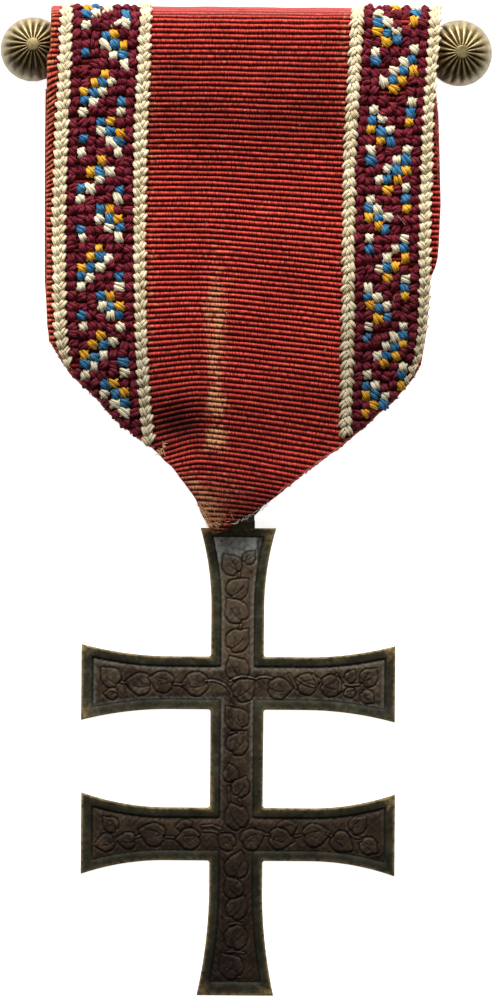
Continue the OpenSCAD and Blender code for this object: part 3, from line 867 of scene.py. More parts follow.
@dataclass
class Ribbon:
    """The ribbed ribbon, made as one belt of cloth with its ribs as real relief.

    columns lie on the outer face and lining on the smooth inner one.
    """

    belt: Belt
    finish: RepSilk = RepSilk()
    columns: int = 44
    lining: int = 12
    rib_h: float = 0.15
    roll: float = 0.35
    cloth: float = 0.55
    # Bleached patches down one line of the field: height along the cross, half length, half width, strength
    streak_x: float = -2.4
    streak_blunt: float = 0.65
    bleached: Table = (
        (37, 13, 1.8, 0.42), (36.8, 4.5, 1.5, 0.5), (31.6, 4.2, 0.85, 0.6), (27.8, 2.4, 1.5, 0.9),
        (24.4, 2.1, 1.6, 1.1),
    )
    # Soft bands of light across the field: height along the cross, half width, strength
    bands: Table = (
        (66, 3, 0.35), (56.5, 4, -0.2), (46.5, 7.5, 0.3), (38, 6, 0.22), (26.5, 7, -0.28),
    )
    # Wear at the tip, at the left margin and in lines beside the inner braids
    tip_wear: tuple[Spot, ...] = (Spot(-2.8, 15.6, 2.6, 3.6, 0.85), Spot(-2.6, 18.6, 6.0, 4.0, 0.45))
    margin_x: float = -18.1
    margin_wear: float = 0.45
    braid_lines: tuple[float, ...] = (-9.1, 10.15)
    line_half: float = 0.5
    line_wear: float = 0.4
    # Shade in the dent and in the crease under it
    shades: tuple[Spot, ...] = (Spot(-6.2, 26.2, 5.6, 4.0, 0.92), Spot(-7.6, 23.6, 2.0, 1.0, 0.5))
    # The outer face has close lines at both ends, at these ways in, where the cloth is wide enough
    near: tuple[float, ...] = (0.0, 0.07, 0.17, 0.35)
    flat: Pair = (0.039, 0.1075)
    cut_area: float = 0.00345

    def across(self, column: Array, width: Array) -> Array:
        """The way in from the left end.

        Args:
            column: Numbers of columns on the outer face.
            width: Widths of the cloth.

        Returns:
            The way in at each column.
        """
        count = len(self.near) - 1
        steps = np.arange(count + 1)
        room = np.minimum(1.0, width / 3)
        left = np.interp(column, steps, self.near) * room
        right = width - np.interp(self.columns - column, steps, self.near) * room
        share = (column - count) / (self.columns - 2 * count)
        middle = self.near[-1] * room + (width - 2 * self.near[-1] * room) * share
        return np.where(column < count, left, np.where(column > self.columns - count, right, middle))

    def build(self) -> Piece:
        """Wraps a grid round the cloth and along the belt, and merges it where it meets itself.

        Returns:
            The ribbon.
        """
        table = self.belt.stations()
        rows = len(table) - 1
        lining_start = self.columns + 1
        around = lining_start + self.lining + 1
        shape = bmesh.new()
        bmesh.ops.create_grid(shape, x_segments=around, y_segments=rows, size=0.5)
        spots = np.array([vertex.co[:2] for vertex in shape.verts])
        column = np.rint((spots[:, 0] + 0.5) * around) % around
        rib, y, z, looks, left, right = table[np.rint((spots[:, 1] + 0.5) * rows).astype(int)].T
        left, right = self.slanting_ends(y, looks, left, right)
        width = right - left
        back_share = np.clip((column - lining_start) / self.lining, 0, 1)
        outer = column < lining_start
        way_in = np.where(outer, self.across(column, width), width * (1 - back_share))
        cloth = Cloth(left + way_in, y, z, rib, looks, np.minimum(way_in, width - way_in))
        self.wave(cloth)
        self.raise_ribs(cloth, outer)
        for vertex, place in zip(shape.verts, zip(cloth.x, cloth.y, cloth.z)):
            vertex.co = place
        write_values(shape, self.values(cloth))
        self.unroll(shape, cloth)
        bmesh.ops.remove_doubles(shape, verts=shape.verts, dist=0.002)
        bmesh.ops.recalc_face_normals(shape, faces=shape.faces)
        return finish_piece("ribbon_cloth", shape, self.finish.material(), ["ribbon"])

    def slanting_ends(self, y: Array, looks: Array, left: Array, right: Array) -> tuple[Array, Array]:
        """Moves the ends of the wavy lines onto the outline, in a few rounds.

        Args:
            y: The lines' heights along the cross.
            looks: The directions of the outer face.
            left: The left ends of straight lines.
            right: The right ends of straight lines.

        Returns:
            The left and the right ends of the wavy lines.
        """
        rounds = 8
        in_front, share = on_front(looks), wave_share(looks)
        for _ in range(rounds):
            low_y = y + share * self.belt.wave(left, y)
            high_y = y + share * self.belt.wave(right, y)
            left = np.where(in_front, self.belt.end(Side.LEFT, low_y), left)
            right = np.where(in_front, self.belt.end(Side.RIGHT, high_y), right)
        return left, right

    def wave(self, cloth: Cloth) -> None:
        """Bends straight lines into wavy, slightly uneven ones, on the swelling front.

        Args:
            cloth: The places, which are moved.
        """
        x, rib = cloth.x, cloth.rib
        uneven = 0.035 * np.sin(0.8 * x + 2.3 * np.sin(0.71 * rib)) * np.sin(1.37 * rib + 0.33 * x)
        cloth.y = cloth.y + wave_share(cloth.looks) * (self.belt.wave(x, cloth.y) + uneven)
        front_z = self.belt.height(cloth.y) + self.belt.swell(x, cloth.y)
        cloth.z = np.where(on_front(cloth.looks), front_z, cloth.z)

    def raise_ribs(self, cloth: Cloth, outer: Array) -> None:
        """Moves places from the middle of the cloth to its faces: ribs are round, and the ends roll in.

        Args:
            cloth: The places, which are moved.
            outer: Whether each lies on the outer face.
        """
        relief = self.rib_h * (np.sqrt(np.clip(1 - (2 * (cloth.rib % 1.0) - 1) ** 2, 0, 1)) - 1)
        turn = np.clip(1 - cloth.from_end / self.roll, 0, 1)
        thin = self.belt.thin(cloth.looks)
        lift = self.belt.half - thin + relief - self.roll * (1 - np.sqrt(1 - turn**2))
        lift = np.where(outer, lift, self.belt.half - self.cloth)
        cloth.y = cloth.y + lift * np.cos(np.radians(cloth.looks))
        cloth.z = cloth.z + lift * np.sin(np.radians(cloth.looks))

    def unroll(self, shape: Shape, cloth: Cloth) -> None:
        """Gives the cloth its UV map: mm across and ribs along, a thousand of each to the unit.

        Args:
            shape: The mesh.
            cloth: The places of its vertices.
        """
        uv = shape.loops.layers.uv.new("belt")
        shape.verts.index_update()
        for face in shape.faces:
            for loop in face.loops:
                index = loop.vert.index
                loop[uv].uv = (cloth.x[index] / PER_MM, cloth.rib[index] / PER_MM)

    def values(self, cloth: Cloth) -> dict[str, Array]:
        """Where the cloth is worn, lit and shaded by painted light, darkened under the stitch bands by thread
        and painted shade, given a painted highlight on its top fold, and turned over.

        Args:
            cloth: The places.

        Returns:
            The values under their names.
        """
        x, y, from_end = cloth.x, cloth.y, cloth.from_end
        front = (cloth.looks < 200).astype(float)
        shade = sum(spot.at(x, y) for spot in self.shades) + 0.68 * smooth(24.0, 17.5, y)
        shade = shade + 0.2 * smooth(20.0, 16.5, y) * smooth(-3.0, 0.0, x)
        light = 1 + sum(strength * bell((y - middle) / half) for middle, half, strength in self.bands)
        # Darker under the stitch bands: the thread under them and painted shade between the stitches
        under = (LEFT_BAND.covers(x, y) | RIGHT_BAND.covers(x, y)) * front * np.where(y < 35, 0.8, 0.4)
        return {
            "worn": np.clip(self.worn(cloth), 0, 1) * front,
            "light": np.where(front > 0, light, 1.0),
            # A painted highlight along the top of the fold
            "fold_highlight": 0.6 * smooth(66.3, 67.3, y) * front,
            "shade": np.clip(shade, 0, 1) * front,
            "covered_and_shaded": under * smooth(0.1, 0.45, from_end),
            "edge": np.clip(1 - from_end / np.where(y < 26, 0.4, 0.22), 0, 1) * 0.8,
        }

    def worn(self, cloth: Cloth) -> Array:
        """How worn the front is: the bleached streak, the tip and the margins.

        Args:
            cloth: The places.

        Returns:
            The wear at each place; it may pass 1.
        """
        x, y = cloth.x, cloth.y
        streak = np.zeros_like(x)
        for middle, half, width, strength in self.bleached:
            across = bell((x - self.streak_x) / width) ** self.streak_blunt
            streak = streak + strength * across * bell((y - middle) / half)
        tip = sum(spot.at(x, y) for spot in self.tip_wear)
        tip = tip + 0.4 * (x < 0) * smooth(2.6, 0.3, cloth.from_end) * bell((y - 19.5) / 4.5)
        margin = self.margin_wear * (x < self.margin_x)
        for line in self.braid_lines:
            margin = margin + self.line_wear * bell((x - line) / self.line_half)
        return streak + tip + margin


@dataclass
class StrandMould:
    """One strand, modelled once and laid many times: length 1 along X, width 1, height 1."""

    around: int = 8
    along: int = 7

    def mesh(self) -> Mesh:
        """The strand with its UV map round and along it.

        Returns:
            A mesh that is only used as a pattern.
        """
        shape = bmesh.new()
        shape.loops.layers.uv.new("strand")
        bmesh.ops.create_uvsphere(
            shape, u_segments=self.around, v_segments=self.along, radius=0.5, calc_uvs=True
        )
        lying = Matrix.Rotation(math.pi / 2, 3, "Y")
        bmesh.ops.rotate(shape, cent=(0, 0, 0), matrix=lying, verts=shape.verts)
        mesh = bpy.data.meshes.new("strand_mould")
        shape.to_mesh(mesh)
        shape.free()
        return mesh


@dataclass
class StrandLayer:
    """Lays strands on the ribbon's face, all into one mesh."""

    belt: Belt
    mould: Mesh

    def __post_init__(self) -> None:
        """Starts an empty mesh."""
        self.shape = bmesh.new()
        self.points = np.array([vertex.co[:] for vertex in self.mould.vertices])

    def lay(
        self, x: float, way: float, lift: float, angle: float, size: Place,
        arch: float = 0.1, taper: float = 0.0, full: float = 0.35,
    ) -> None:
        """Lays one strand.

        Args:
            x: The place of its middle across the ribbon.
            way: The place of its middle along the ribbon.
            lift: The height of its middle over the ribbon's face.
            angle: Its direction in degrees, from the direction across.
            size: Its length, width and height.
            arch: How far its middle stands over its ends.
            taper: How much narrower it is at its far end, as a share.
            full: How blunt its ends are, from 0, pointed, to 1.
        """
        point, axes = self.belt.face(x, way, lift)
        length, width, height = size
        a, b, c = self.points.T
        girth = np.sqrt(np.clip(b**2 + c**2, 1e-9, None))
        blunt = np.where(girth > 1e-4, (girth / 0.5) ** (-full), 1.0)
        scale = blunt * (1 - taper * (a + 0.5))
        across = b * scale * width
        up = c * scale * height - arch * (2 * a) ** 2
        turn = math.radians(angle)
        dx = a * length * math.cos(turn) - across * math.sin(turn)
        dy = a * length * math.sin(turn) + across * math.cos(turn)
        local = np.column_stack([dx, dy, up])
        world = local @ np.array(axes).T + np.array(point)
        start = len(self.shape.verts)
        self.shape.from_mesh(self.mould)
        self.shape.verts.ensure_lookup_table()
        for vertex, place in zip(self.shape.verts[start:], world):
            vertex.co = place

    def core(self, strip: Strip, spare: float) -> None:
        """Lays a flat core under a plait, so that no ribbon shows between its strands.

        Args:
            strip: The strip that it fills.
            spare: The room that it leaves to the cloth's slanting end.
        """
        rows, columns, lift = 90, 4, 0.12
        width_share, droop, past_top = 0.84, 3.6, 0.2
        lowest = 20.0
        while not strip.inside(self.belt, sum(strip.span(lowest)) / 2, lowest, spare):
            lowest += 0.1
        made = bmesh.ops.create_grid(self.shape, x_segments=columns, y_segments=rows, size=0.5)
        for vertex in made["verts"]:
            way = lowest + (strip.top + past_top - lowest) * (vertex.co.y + 0.5)
            left, right = strip.span(way)
            across = left + (right - left) * (0.5 + width_share * vertex.co.x)
            vertex.co = self.belt.face(across, way, lift * (1 - droop * vertex.co.x**2))[0]

    def done(self, name: str, material: Material, slot: str, nodes: list[str]) -> Piece:
        """Makes the laid strands a piece."""
        bmesh.ops.recalc_face_normals(self.shape, faces=self.shape.faces)
        return finish_piece(name, self.shape, material, nodes)


@dataclass(frozen=True)
class Hand:
    """How unevenly the stitches are worked: ranges and spreads, in mm, degrees and shares."""

    off_across: float = 0.08
    off_along: float = 0.125
    reach: Pair = (0.88, 1.06)
    under_spread: float = 13
    under_width: Pair = (0.4, 0.56)
    under_lift: float = 0.18
    under_arch: float = 0.14
    flipped_share: float = 0.28
    over_lean: float = -3
    over_spread: float = 16
    over_lift: float = 0.35
    over_arch: float = 0.34
    lift_off: float = 0.05
    ply_apart: Pair = (0.13, 0.21)
    ply_slack: Pair = (-0.04, 0.1)
    ply_turn: Pair = (-6, 12)
    ply_length: Pair = (0.78, 1.0)
    ply_width: Pair = (0.36, 0.48)
    height: float = 0.46
    # Maroon stitches are pulled tighter, and some of the others are left longer
    tight: float = 0.9
    long: float = 1.2
    long_share: float = 0.35


@dataclass
class Embroidery:
    """A band of cross-stitch, worked from a chart whose rows repeat down the ribbon."""

    name: str
    node: str
    strip: Strip
    chart: list[str]
    first_way: float
    pitch: float
    rows: int
    start_row: int = 0
    columns: int = 7
    plain_rows: tuple[int, ...] = ()
    changed_rows: dict[int, str] = field(default_factory=dict)
    lost: frozenset[tuple[int, int]] = frozenset()
    # Long loose strands: thread, place across, place along, direction in degrees, length
    loose: tuple[tuple[Thread, float, float, float, float], ...] = ()
    seed: int = 3
    hand: Hand = Hand()
    # Room to the slanting end that a short stitch needs, and a whole one; how short the first is
    short_room: float = 0.12
    whole_room: float = 0.38
    short_share: float = 0.62

    def letter(self, row: int, column: int) -> str:
        """The chart's letter for a stitch.

        Args:
            row: Its row, from the top.
            column: Its column, from the left.

        Returns:
            The letter.
        """
        if row in self.changed_rows:
            return self.changed_rows[row][column]
        if row in self.plain_rows:
            return Thread.MAROON.letter
        past = sum(1 for plain in self.plain_rows if plain < row)
        return self.chart[(self.start_row + row - past) % len(self.chart)][column]

    def build(self, belt: Belt, mould: Mesh, yarns: dict[Thread, Material]) -> None:
        """Works every stitch as two crossing strands, one mesh for each thread.

        Args:
            belt: The cloth that carries the band.
            mould: The strand.
            yarns: The material of each thread.
        """
        chance = random.Random(self.seed)
        layers = {thread: StrandLayer(belt, mould) for thread in Thread}
        by_letter = {thread.letter: thread for thread in Thread}
        for row in range(self.rows):
            way = self.first_way - row * self.pitch
            left, right = self.strip.span(way)
            step = (right - left) / self.columns
            for column in range(self.columns):
                x = left + (column + 0.5) * step
                if not self.strip.inside(belt, x, way, self.short_room) or (row, column) in self.lost:
                    continue
                if self.strip.inside(belt, x, way, self.whole_room):
                    thread = by_letter[self.letter(row, column)]
                    self.stitch(layers[thread], thread, x, way, step, chance)
                else:
                    inward = x - self.strip.side.value * self.short_room
                    higher = way + self.short_room
                    layer = layers[Thread.MAROON]
                    self.stitch(layer, Thread.MAROON, inward, higher, step, chance, self.short_share)
        for thread, x, way, angle, length in self.loose:
            layers[thread].lay(x, way, 0.5, angle, (length, 0.5, 0.42), arch=0.25, full=0.5)
        for thread, layer in layers.items():
            layer.done(f"{self.name}_{thread.name.lower()}", yarns[thread], thread.slot, [self.node])

    def stitch(
        self, layer: StrandLayer, thread: Thread, x: float, way: float, step: float,
        chance: random.Random, share: float = 1.0,
    ) -> None:
        """Works one cross: the under leg rises to the right, and the upper one, of two plies, falls.

        Args:
            layer: The mesh that takes it.
            thread: Its thread.
            x: The place of its middle across.
            way: The place of its middle along.
            step: The width of a stitch.
            chance: The source of the small differences.
            share: Its length as a share of a whole stitch.
        """
        hand = self.hand
        x += chance.gauss(0, hand.off_across)
        way += chance.gauss(0, hand.off_along)
        slope = math.degrees(math.atan2(self.pitch, step))
        reach = math.hypot(step, self.pitch) * chance.uniform(*hand.reach) * share
        under = slope + chance.gauss(0, hand.under_spread)
        flipped = thread is Thread.MAROON and chance.random() < hand.flipped_share
        over = (slope if flipped else -slope) + chance.gauss(hand.over_lean, hand.over_spread)
        size = (reach, chance.uniform(*hand.under_width), hand.height)
        layer.lay(x, way, hand.under_lift, under, size, arch=hand.under_arch, full=0.5)
        apart = chance.uniform(*hand.ply_apart)
        slack = chance.uniform(*hand.ply_slack)
        if thread is Thread.MAROON:
            reach *= hand.tight
        elif chance.random() < hand.long_share:
            reach *= hand.long
        turn = math.radians(over)
        for side in (-1, 1):
            ply = over + side * chance.uniform(*hand.ply_turn)
            size = (reach * chance.uniform(*hand.ply_length), chance.uniform(*hand.ply_width), hand.height)
            lift = hand.over_lift + slack + chance.uniform(-hand.lift_off, hand.lift_off)
            ply_x = x - side * apart * math.sin(turn)
            ply_way = way + side * apart * math.cos(turn)
            layer.lay(ply_x, ply_way, lift, ply, size, arch=hand.over_arch, full=0.45)


@dataclass
class Braid:
    """A plaited cream braid: pairs of fat strands that meet in the middle."""

    name: str
    node: str
    strip: Strip
    lean: Lean = Lean.DOWN
    pitch: float = 0.95
    bulk: float = 1.0
    spare: float = 0.5
    seed: int = 5
    # How far a lobe lies aside, as a share of the width, and how far its neighbour is set off along
    aside: float = 0.21
    stagger: float = 0.14
    # The direction of a lobe, as a rise and a run
    rise: float = 0.86
    run: float = 0.5
    ply_apart: float = 0.14
    ply_length: float = 1.28
    ply_width: float = 0.4
    ply_height: float = 0.5
    core_spare: float = 0.35

    def build(self, belt: Belt, mould: Mesh, material: Material) -> None:
        """Lays the strands from the top fold to the slanting end.

        Args:
            belt: The cloth that carries the braid.
            mould: The strand.
            material: The braid's finish.
        """
        chance = random.Random(self.seed)
        layer = StrandLayer(belt, mould)
        lowest = 20
        way = self.strip.top
        while way > lowest:
            left, right = self.strip.span(way)
            middle = (left + right) / 2
            width = right - left
            if self.strip.inside(belt, middle, way, self.spare):
                for side in (-1, 1):
                    x = middle + side * width * self.aside
                    self.lobe(layer, x, way + side * self.stagger, width, side, chance)
            way -= self.pitch * chance.uniform(0.92, 1.08)
        layer.core(self.strip, self.spare + self.core_spare)
        layer.done(self.name, material, "braid_cream", [self.node])

    def lobe(
        self, layer: StrandLayer, x: float, way: float, width: float, side: int, chance: random.Random
    ) -> None:
        """Lays one lobe of the plait, of two plies.

        Args:
            layer: The mesh that takes it.
            x: The place of its middle across.
            way: The place of its middle along.
            width: The width of the braid there.
            side: -1 for a lobe on the left, 1 for one on the right.
            chance: The source of the small differences.
        """
        straight = math.degrees(math.atan2(self.rise * self.lean.value, -side * self.run))
        tilt = straight + chance.uniform(-13, 13)
        turn = math.radians(tilt)
        x += chance.uniform(-0.05, 0.05)
        apart = self.ply_apart * width * self.bulk
        for ply in (-1, 1):
            size = (
                self.ply_length * self.bulk * chance.uniform(0.88, 1.06),
                self.ply_width * width * self.bulk * chance.uniform(0.9, 1.08),
                self.ply_height,
            )
            ply_x = x - ply * apart * math.sin(turn)
            ply_way = way + ply * apart * math.cos(turn)
            lift = 0.3 + chance.uniform(-0.05, 0.05)
            angle = tilt + ply * chance.uniform(-4, 6)
            layer.lay(ply_x, ply_way, lift, angle, size, arch=0.2, taper=0.3)


@dataclass
class Frays:
    """Loose fibres at the ribbon's tip and slanting ends, and a few specks of lint."""

    belt: Belt
    mould: Mesh
    seed: int = 11

    def __post_init__(self) -> None:
        """Starts a mesh for each of the four colours."""
        self.chance = random.Random(self.seed)
        self.red, self.pale, self.lint, self.rose = (StrandLayer(self.belt, self.mould) for _ in range(4))

    def build(self) -> None:
        """Lays the fibres, always in the same order, and makes them four pieces."""
        self.slanting_ends()
        self.tip()
        self.tufts()
        self.strew_lint()
        self.right_margin()
        finishes = (
            (self.red, "fibres_red", "red", (0.36, 0.07, 0.025), (0.68, 0.24, 0.10), (0.85, 0.44, 0.2)),
            (self.pale, "fibres_pale", "pale", (0.60, 0.32, 0.13), (0.92, 0.62, 0.31), (1.0, 0.86, 0.6)),
            (self.lint, "lint", "lint", (0.50, 0.44, 0.34), (0.80, 0.74, 0.63), (0.96, 0.93, 0.86)),
            (self.rose, "fibres_rose", "rose", (0.16, 0.016, 0.02), (0.46, 0.085, 0.075), (0.78, 0.30, 0.22)),
        )
        for layer, piece, name, *colours in finishes:
            yarn = Yarn("fray_" + name, *colours, lit=(1.0, 1.0))
            layer.done("fray_" + piece, yarn.material(), "ribbon_red", [])

    def either(self, red_share: float) -> StrandLayer:
        """The red fibres by that share of chance, or else the pale ones."""
        return self.red if self.chance.random() < red_share else self.pale

    def slanting_ends(self) -> None:
        """Lays rose fibres along both slanting ends."""
        chance = self.chance
        for side, low, high, lean in ((Side.LEFT, 23.5, 33.6, -40), (Side.RIGHT, 19.0, 31.5, 37)):
            for _ in range(150):
                way = chance.uniform(low, high)
                x = float(self.belt.end(side, way)) - side.value * (0.04 + abs(chance.gauss(0, 0.13)))
                size = (chance.uniform(0.4, 1.0), 0.1, 0.1)
                self.rose.lay(x, way, chance.uniform(-0.15, 0.08), lean + chance.gauss(0, 15), size, 0.06)

    def tip(self) -> None:
        """Lays thin fibres down the left side of the tip and along its foot, and fluff up its right side."""
        chance = self.chance
        for _ in range(44):
            way = 15.6 + 2.2 * chance.random() ** 1.3
            x = float(self.belt.end(Side.LEFT, way)) + abs(chance.gauss(0.05, 0.45))
            layer = self.either(0.5)
            size = (chance.uniform(0.4, 1.1), 0.045, 0.045)
            layer.lay(x, way, chance.uniform(0.0, 0.05), -58 + chance.gauss(0, 20), size, 0.04)
        for _ in range(36):
            x = chance.uniform(-3.3, -0.6)
            way = 15.55 + chance.uniform(-0.1, 0.8) + max(0.0, x + 2.2) * 0.5
            layer = self.either(0.45)
            layer.lay(x, way, 0.02, -24 + chance.gauss(0, 24), (chance.uniform(0.4, 0.9), 0.035, 0.04), 0.1)
        for _ in range(34):
            way = 16.0 + 2.6 * chance.random() ** 1.4
            x = float(self.belt.end(Side.RIGHT, way)) + chance.gauss(0.0, 0.12)
            angle = 38 + chance.gauss(0, 42)
            self.lint.lay(x, way - 0.1, -0.05, angle, (chance.uniform(0.3, 0.8), 0.03, 0.03), 0.1)

    def tufts(self) -> None:
        """Lays two small tufts in the crease at the lower left."""
        chance = self.chance
        for x, way in ((-7.45, 23.65), (-7.85, 23.05)):
            for _ in range(12):
                layer = self.either(0.3)
                size = (chance.uniform(0.3, 0.7), 0.06, 0.06)
                place = (x + chance.gauss(0, 0.18), way + chance.gauss(0, 0.2))
                layer.lay(*place, 0.06, 55 + chance.gauss(0, 35), size, 0.1)

    def strew_lint(self) -> None:
        """Strews specks of lint over the field, and lays three single hairs over the right band."""
        chance = self.chance
        for _ in range(14):
            x = chance.uniform(-8, 9.5)
            way = chance.uniform(26, 64)
            angle = chance.uniform(0, 180)
            self.lint.lay(x, way, 0.02, angle, (chance.uniform(0.1, 0.25), 0.05, 0.05), 0.02)
        for x, way, angle, length in ((16.0, 46.4, -50, 1.5), (15.3, 38.4, 75, 1.0), (19.0, 50.4, 60, 1.4)):
            self.lint.lay(x, way, 0.75, angle, (length, 0.035, 0.035), 0.15)

    def right_margin(self) -> None:
        """Lays rose fibres up the right margin, where it is rubbed."""
        chance = self.chance
        for _ in range(110):
            way = chance.uniform(50, 60.8)
            x = float(self.belt.end(Side.RIGHT, way)) - 0.06 - abs(chance.gauss(0, 0.2))
            size = (chance.uniform(0.5, 1.1), 0.1, 0.1)
            self.rose.lay(x, way, chance.uniform(-0.12, 0.08), 90 + chance.gauss(0, 13), size, 0.05)


@dataclass(frozen=True)
class Arm:
    """One arm of the cross: direction in degrees, height of its crossing, length, end, flare, lip."""

    turn: float
    y: float
    length: float
    end: float
    flare: float
    lip: float

    def radius(self, half: float) -> float:
        """The radius of the flare, from half the width of the straight part."""
        rise = self.end - half
        return (self.flare**2 + rise**2) / (2 * rise)


@dataclass
class Leaf:
    """A linden leaf of the relief, with the panel's places as they are seen from it.

    Its tip points in the direction turn, in degrees, and its small differences come from its number.
    """

    number: int
    x: float
    y: float
    size: float
    turn: float
    panel_x: Array
    panel_y: Array
    scale: float = 1.13
    lobe: float = 0.43
    tip: float = 0.62
    pits: int = 6

    def __post_init__(self) -> None:
        """Scales the leaf, and finds how each place lies to its middle."""
        self.size *= self.scale
        self.ahead, self.aside = seen(self.panel_x - self.x, self.panel_y - self.y, self.turn)
        self.away = np.hypot(self.ahead, self.aside)
        self.angle = np.arctan2(self.aside, self.ahead)

    def inside(self) -> Array:
        """How deep places lie inside the leaf: a round with a point, a notch and a wavy edge.

        Returns:
            The depth at each place, negative outside.
        """
        off_tip = np.abs(self.angle)
        lobe = self.lobe * self.size
        corner = math.acos(self.lobe / self.tip)
        reach = np.where(off_tip < corner, lobe / np.cos(off_tip - corner), lobe)
        reach = reach * (1 - 0.2 * hair(math.pi - off_tip, 0.22))
        reach = reach * (1 + 0.025 * np.sin(3 * self.angle + self.number))
        reach = reach * (1 + 0.02 * np.sin(7 * self.angle + 2 * self.number))
        return reach - self.away

    def veins(self) -> Array:
        """Draws a bowed vein down the middle, with one branch.

        Returns:
            How much each place lies in a vein, from 0 to 1.
        """
        ahead, size = self.ahead, self.size
        side = 1 if self.number % 2 else -1
        bow = 0.12 * side * size * np.sin(np.clip(ahead / size + 0.45, 0, 1) * math.pi)
        vein = hair(self.aside - bow, 0.06) * smooth(0.34 * size, 0.15 * size, ahead)
        past_bow = side * (bow - self.aside) > 0
        branch = hair(self.aside - bow + side * (0.2 * size + 0.7 * ahead), 0.05) * past_bow
        branch = branch * (ahead < 0.1 * size) * smooth(0.38 * size, 0.3 * size, self.away)
        return np.maximum(vein, 0.8 * branch)

    def pitted(self, chance: random.Random) -> Array:
        """Strews small pits over the leaf.

        Args:
            chance: The source of their places.

        Returns:
            How much each place lies in a pit, from 0 to 1.
        """
        pits = np.zeros_like(self.ahead)
        for _ in range(self.pits):
            ahead = chance.uniform(-0.25, 0.32) * self.size
            aside = chance.uniform(-0.3, 0.3) * self.size
            pits = np.maximum(pits, hair(np.hypot(self.ahead - ahead, self.aside - aside), 0.08))
        return pits


@dataclass
class Relief:
    """The panel's surface, as leaf after leaf and stalk after stalk is laid on it.

    It holds the height z, the grime cut, the tone, and how far a leaf covers each place.
    """

    x: Array
    y: Array
    depth: Array
    highlit_stalks: int = 3
    highest: float = 1.94
    seed: int = 7
    # Height along the cross, and how much lighter the panel is there: darker towards the foot, lighter
    # towards the top
    tints: Table = (
        (-31, -0.24), (-24, -0.2), (-19, -0.16), (-15, -0.08), (-8, -0.04), (-2, 0.03), (2, 0.09),
        (5, 0.16), (14, 0.2),
    )

    def __post_init__(self) -> None:
        """Starts with the bare panel, which rises from its edge inwards."""
        depth = self.depth
        self.z = 1.65 + 0.08 * smooth(-0.03, 0.06, depth) + 0.12 * smooth(0.0, 0.65, depth)
        self.cut = 0.5 * (1 - smooth(-0.04, 0.05, depth))
        # A lighter band just inside the panel's edge: painted highlight
        self.tone = 0.07 * hair(depth - 0.2, 0.12)
        self.leafy = np.zeros_like(self.x)
        self.chance = random.Random(self.seed)

    def lay_leaf(self, number: int, row: tuple[float, ...]) -> None:
        """Lays a leaf over what is there: a low dome with veins and pits, in a cut outline.

        Args:
            number: The leaf's number.
            row: Its place across, place along, size and direction of the tip.
        """
        leaf = Leaf(number, *row, self.x, self.y)
        inside = leaf.inside()
        mask = smooth(-0.1, 0.02, inside)
        self.leafy = np.maximum(self.leafy, mask)
        lean = 0.025 if number % 2 else 0.0
        dome = 1.835 + lean + 0.07 * smooth(0.0, 0.3, inside) - 0.03 * hair(leaf.away, 0.3 * leaf.size)
        vein = leaf.veins()
        pits = leaf.pitted(self.chance)
        dome = dome - 0.09 * vein - 0.05 * pits
        groove = hair(inside, 0.08)
        self.z = self.z * (1 - mask) + dome * mask - 0.14 * groove
        self.cut = self.cut * (1 - mask) + np.clip(0.8 * vein + 0.55 * pits, 0, 1) * mask
        self.cut = np.maximum(self.cut, groove * (0.8 + 0.2 * np.sin(2 * leaf.angle + 3 * number)))
        # Lighter bands on both sides of the outline: worn edges and painted highlight
        rim = hair(inside - 0.2, 0.08) + hair(inside + 0.17, 0.07)
        self.tone = self.tone * (1 - mask) + 0.03 * mask + 0.06 * rim

    def shade(self) -> None:
        """Paints shadow on the slope at the upper right, and finds the grey-blue places."""
        # Painted shadow on the slope at the upper right
        slope = smooth(1.65, 2.0, self.x) * smooth(9.0, 10.5, self.y)
        self.tone = self.tone - 0.3 * slope
        self.cool_and_glint = 0.9 * smooth(11.6, 13.0, self.y) * (1 - slope) * (1 - 0.7 * self.leafy)
        self.cool_and_glint = self.cool_and_glint + 0.2 * smooth(-17.0, -3.0, self.y) * hair(self.depth - 0.15, 0.2)

    def lay_stalk(self, number: int, stalk: Table) -> None:
        """Raises a thin stalk between two cut lines.

        Args:
            number: The stalk's number; the first few get a stronger painted highlight.
            stalk: Its corners.
        """
        away = line_distance(self.x, self.y, stalk)
        ridge = hair(away, 0.075)
        groove = hair(away - 0.16, 0.07)
        bright = number < self.highlit_stalks
        self.z = self.z + 0.07 * ridge - 0.09 * groove
        self.cut = np.clip(np.maximum(self.cut, 0.9 * groove) - 0.9 * ridge, 0, 1)
        # Painted highlight along the stalk's ridge, stronger on the first few, with a thin painted glint on
        # them
        self.tone = self.tone + (0.2 if bright else 0.08) * ridge
        if bright:
            sparkle = 0.4 * hair(away, 0.045) * (1 + 0.6 * np.sin(4.7 * self.x + 3 * self.y))
            self.cool_and_glint = np.maximum(self.cool_and_glint, sparkle)

    def height(self) -> Array:
        """The height of the panel, a little rough all over.

        Returns:
            The height in mm at each place.
        """
        x, y = self.x, self.y
        rough = 0.012 * (np.sin(9.1 * x + 3 * np.sin(4.3 * y)) + np.sin(7.7 * y + 2.6 * np.sin(5.9 * x)))
        return np.minimum(self.z + rough, self.highest)

    def values(self) -> dict[str, Array]:
        """The grime, the tone with its painted light and shade, and the grey-blue places with painted glints.

        Returns:
            The values under the names that the patina reads.
        """
        height_tone = np.interp(self.y, *np.array(self.tints).T)
        height_tone = height_tone - 0.05 * smooth(-3.0, -6.0, self.x) * smooth(-4.0, -2.0, self.y)
        return {"cut": self.cut, "tone": self.tone + height_tone, "cool_and_glint": self.cool_and_glint}


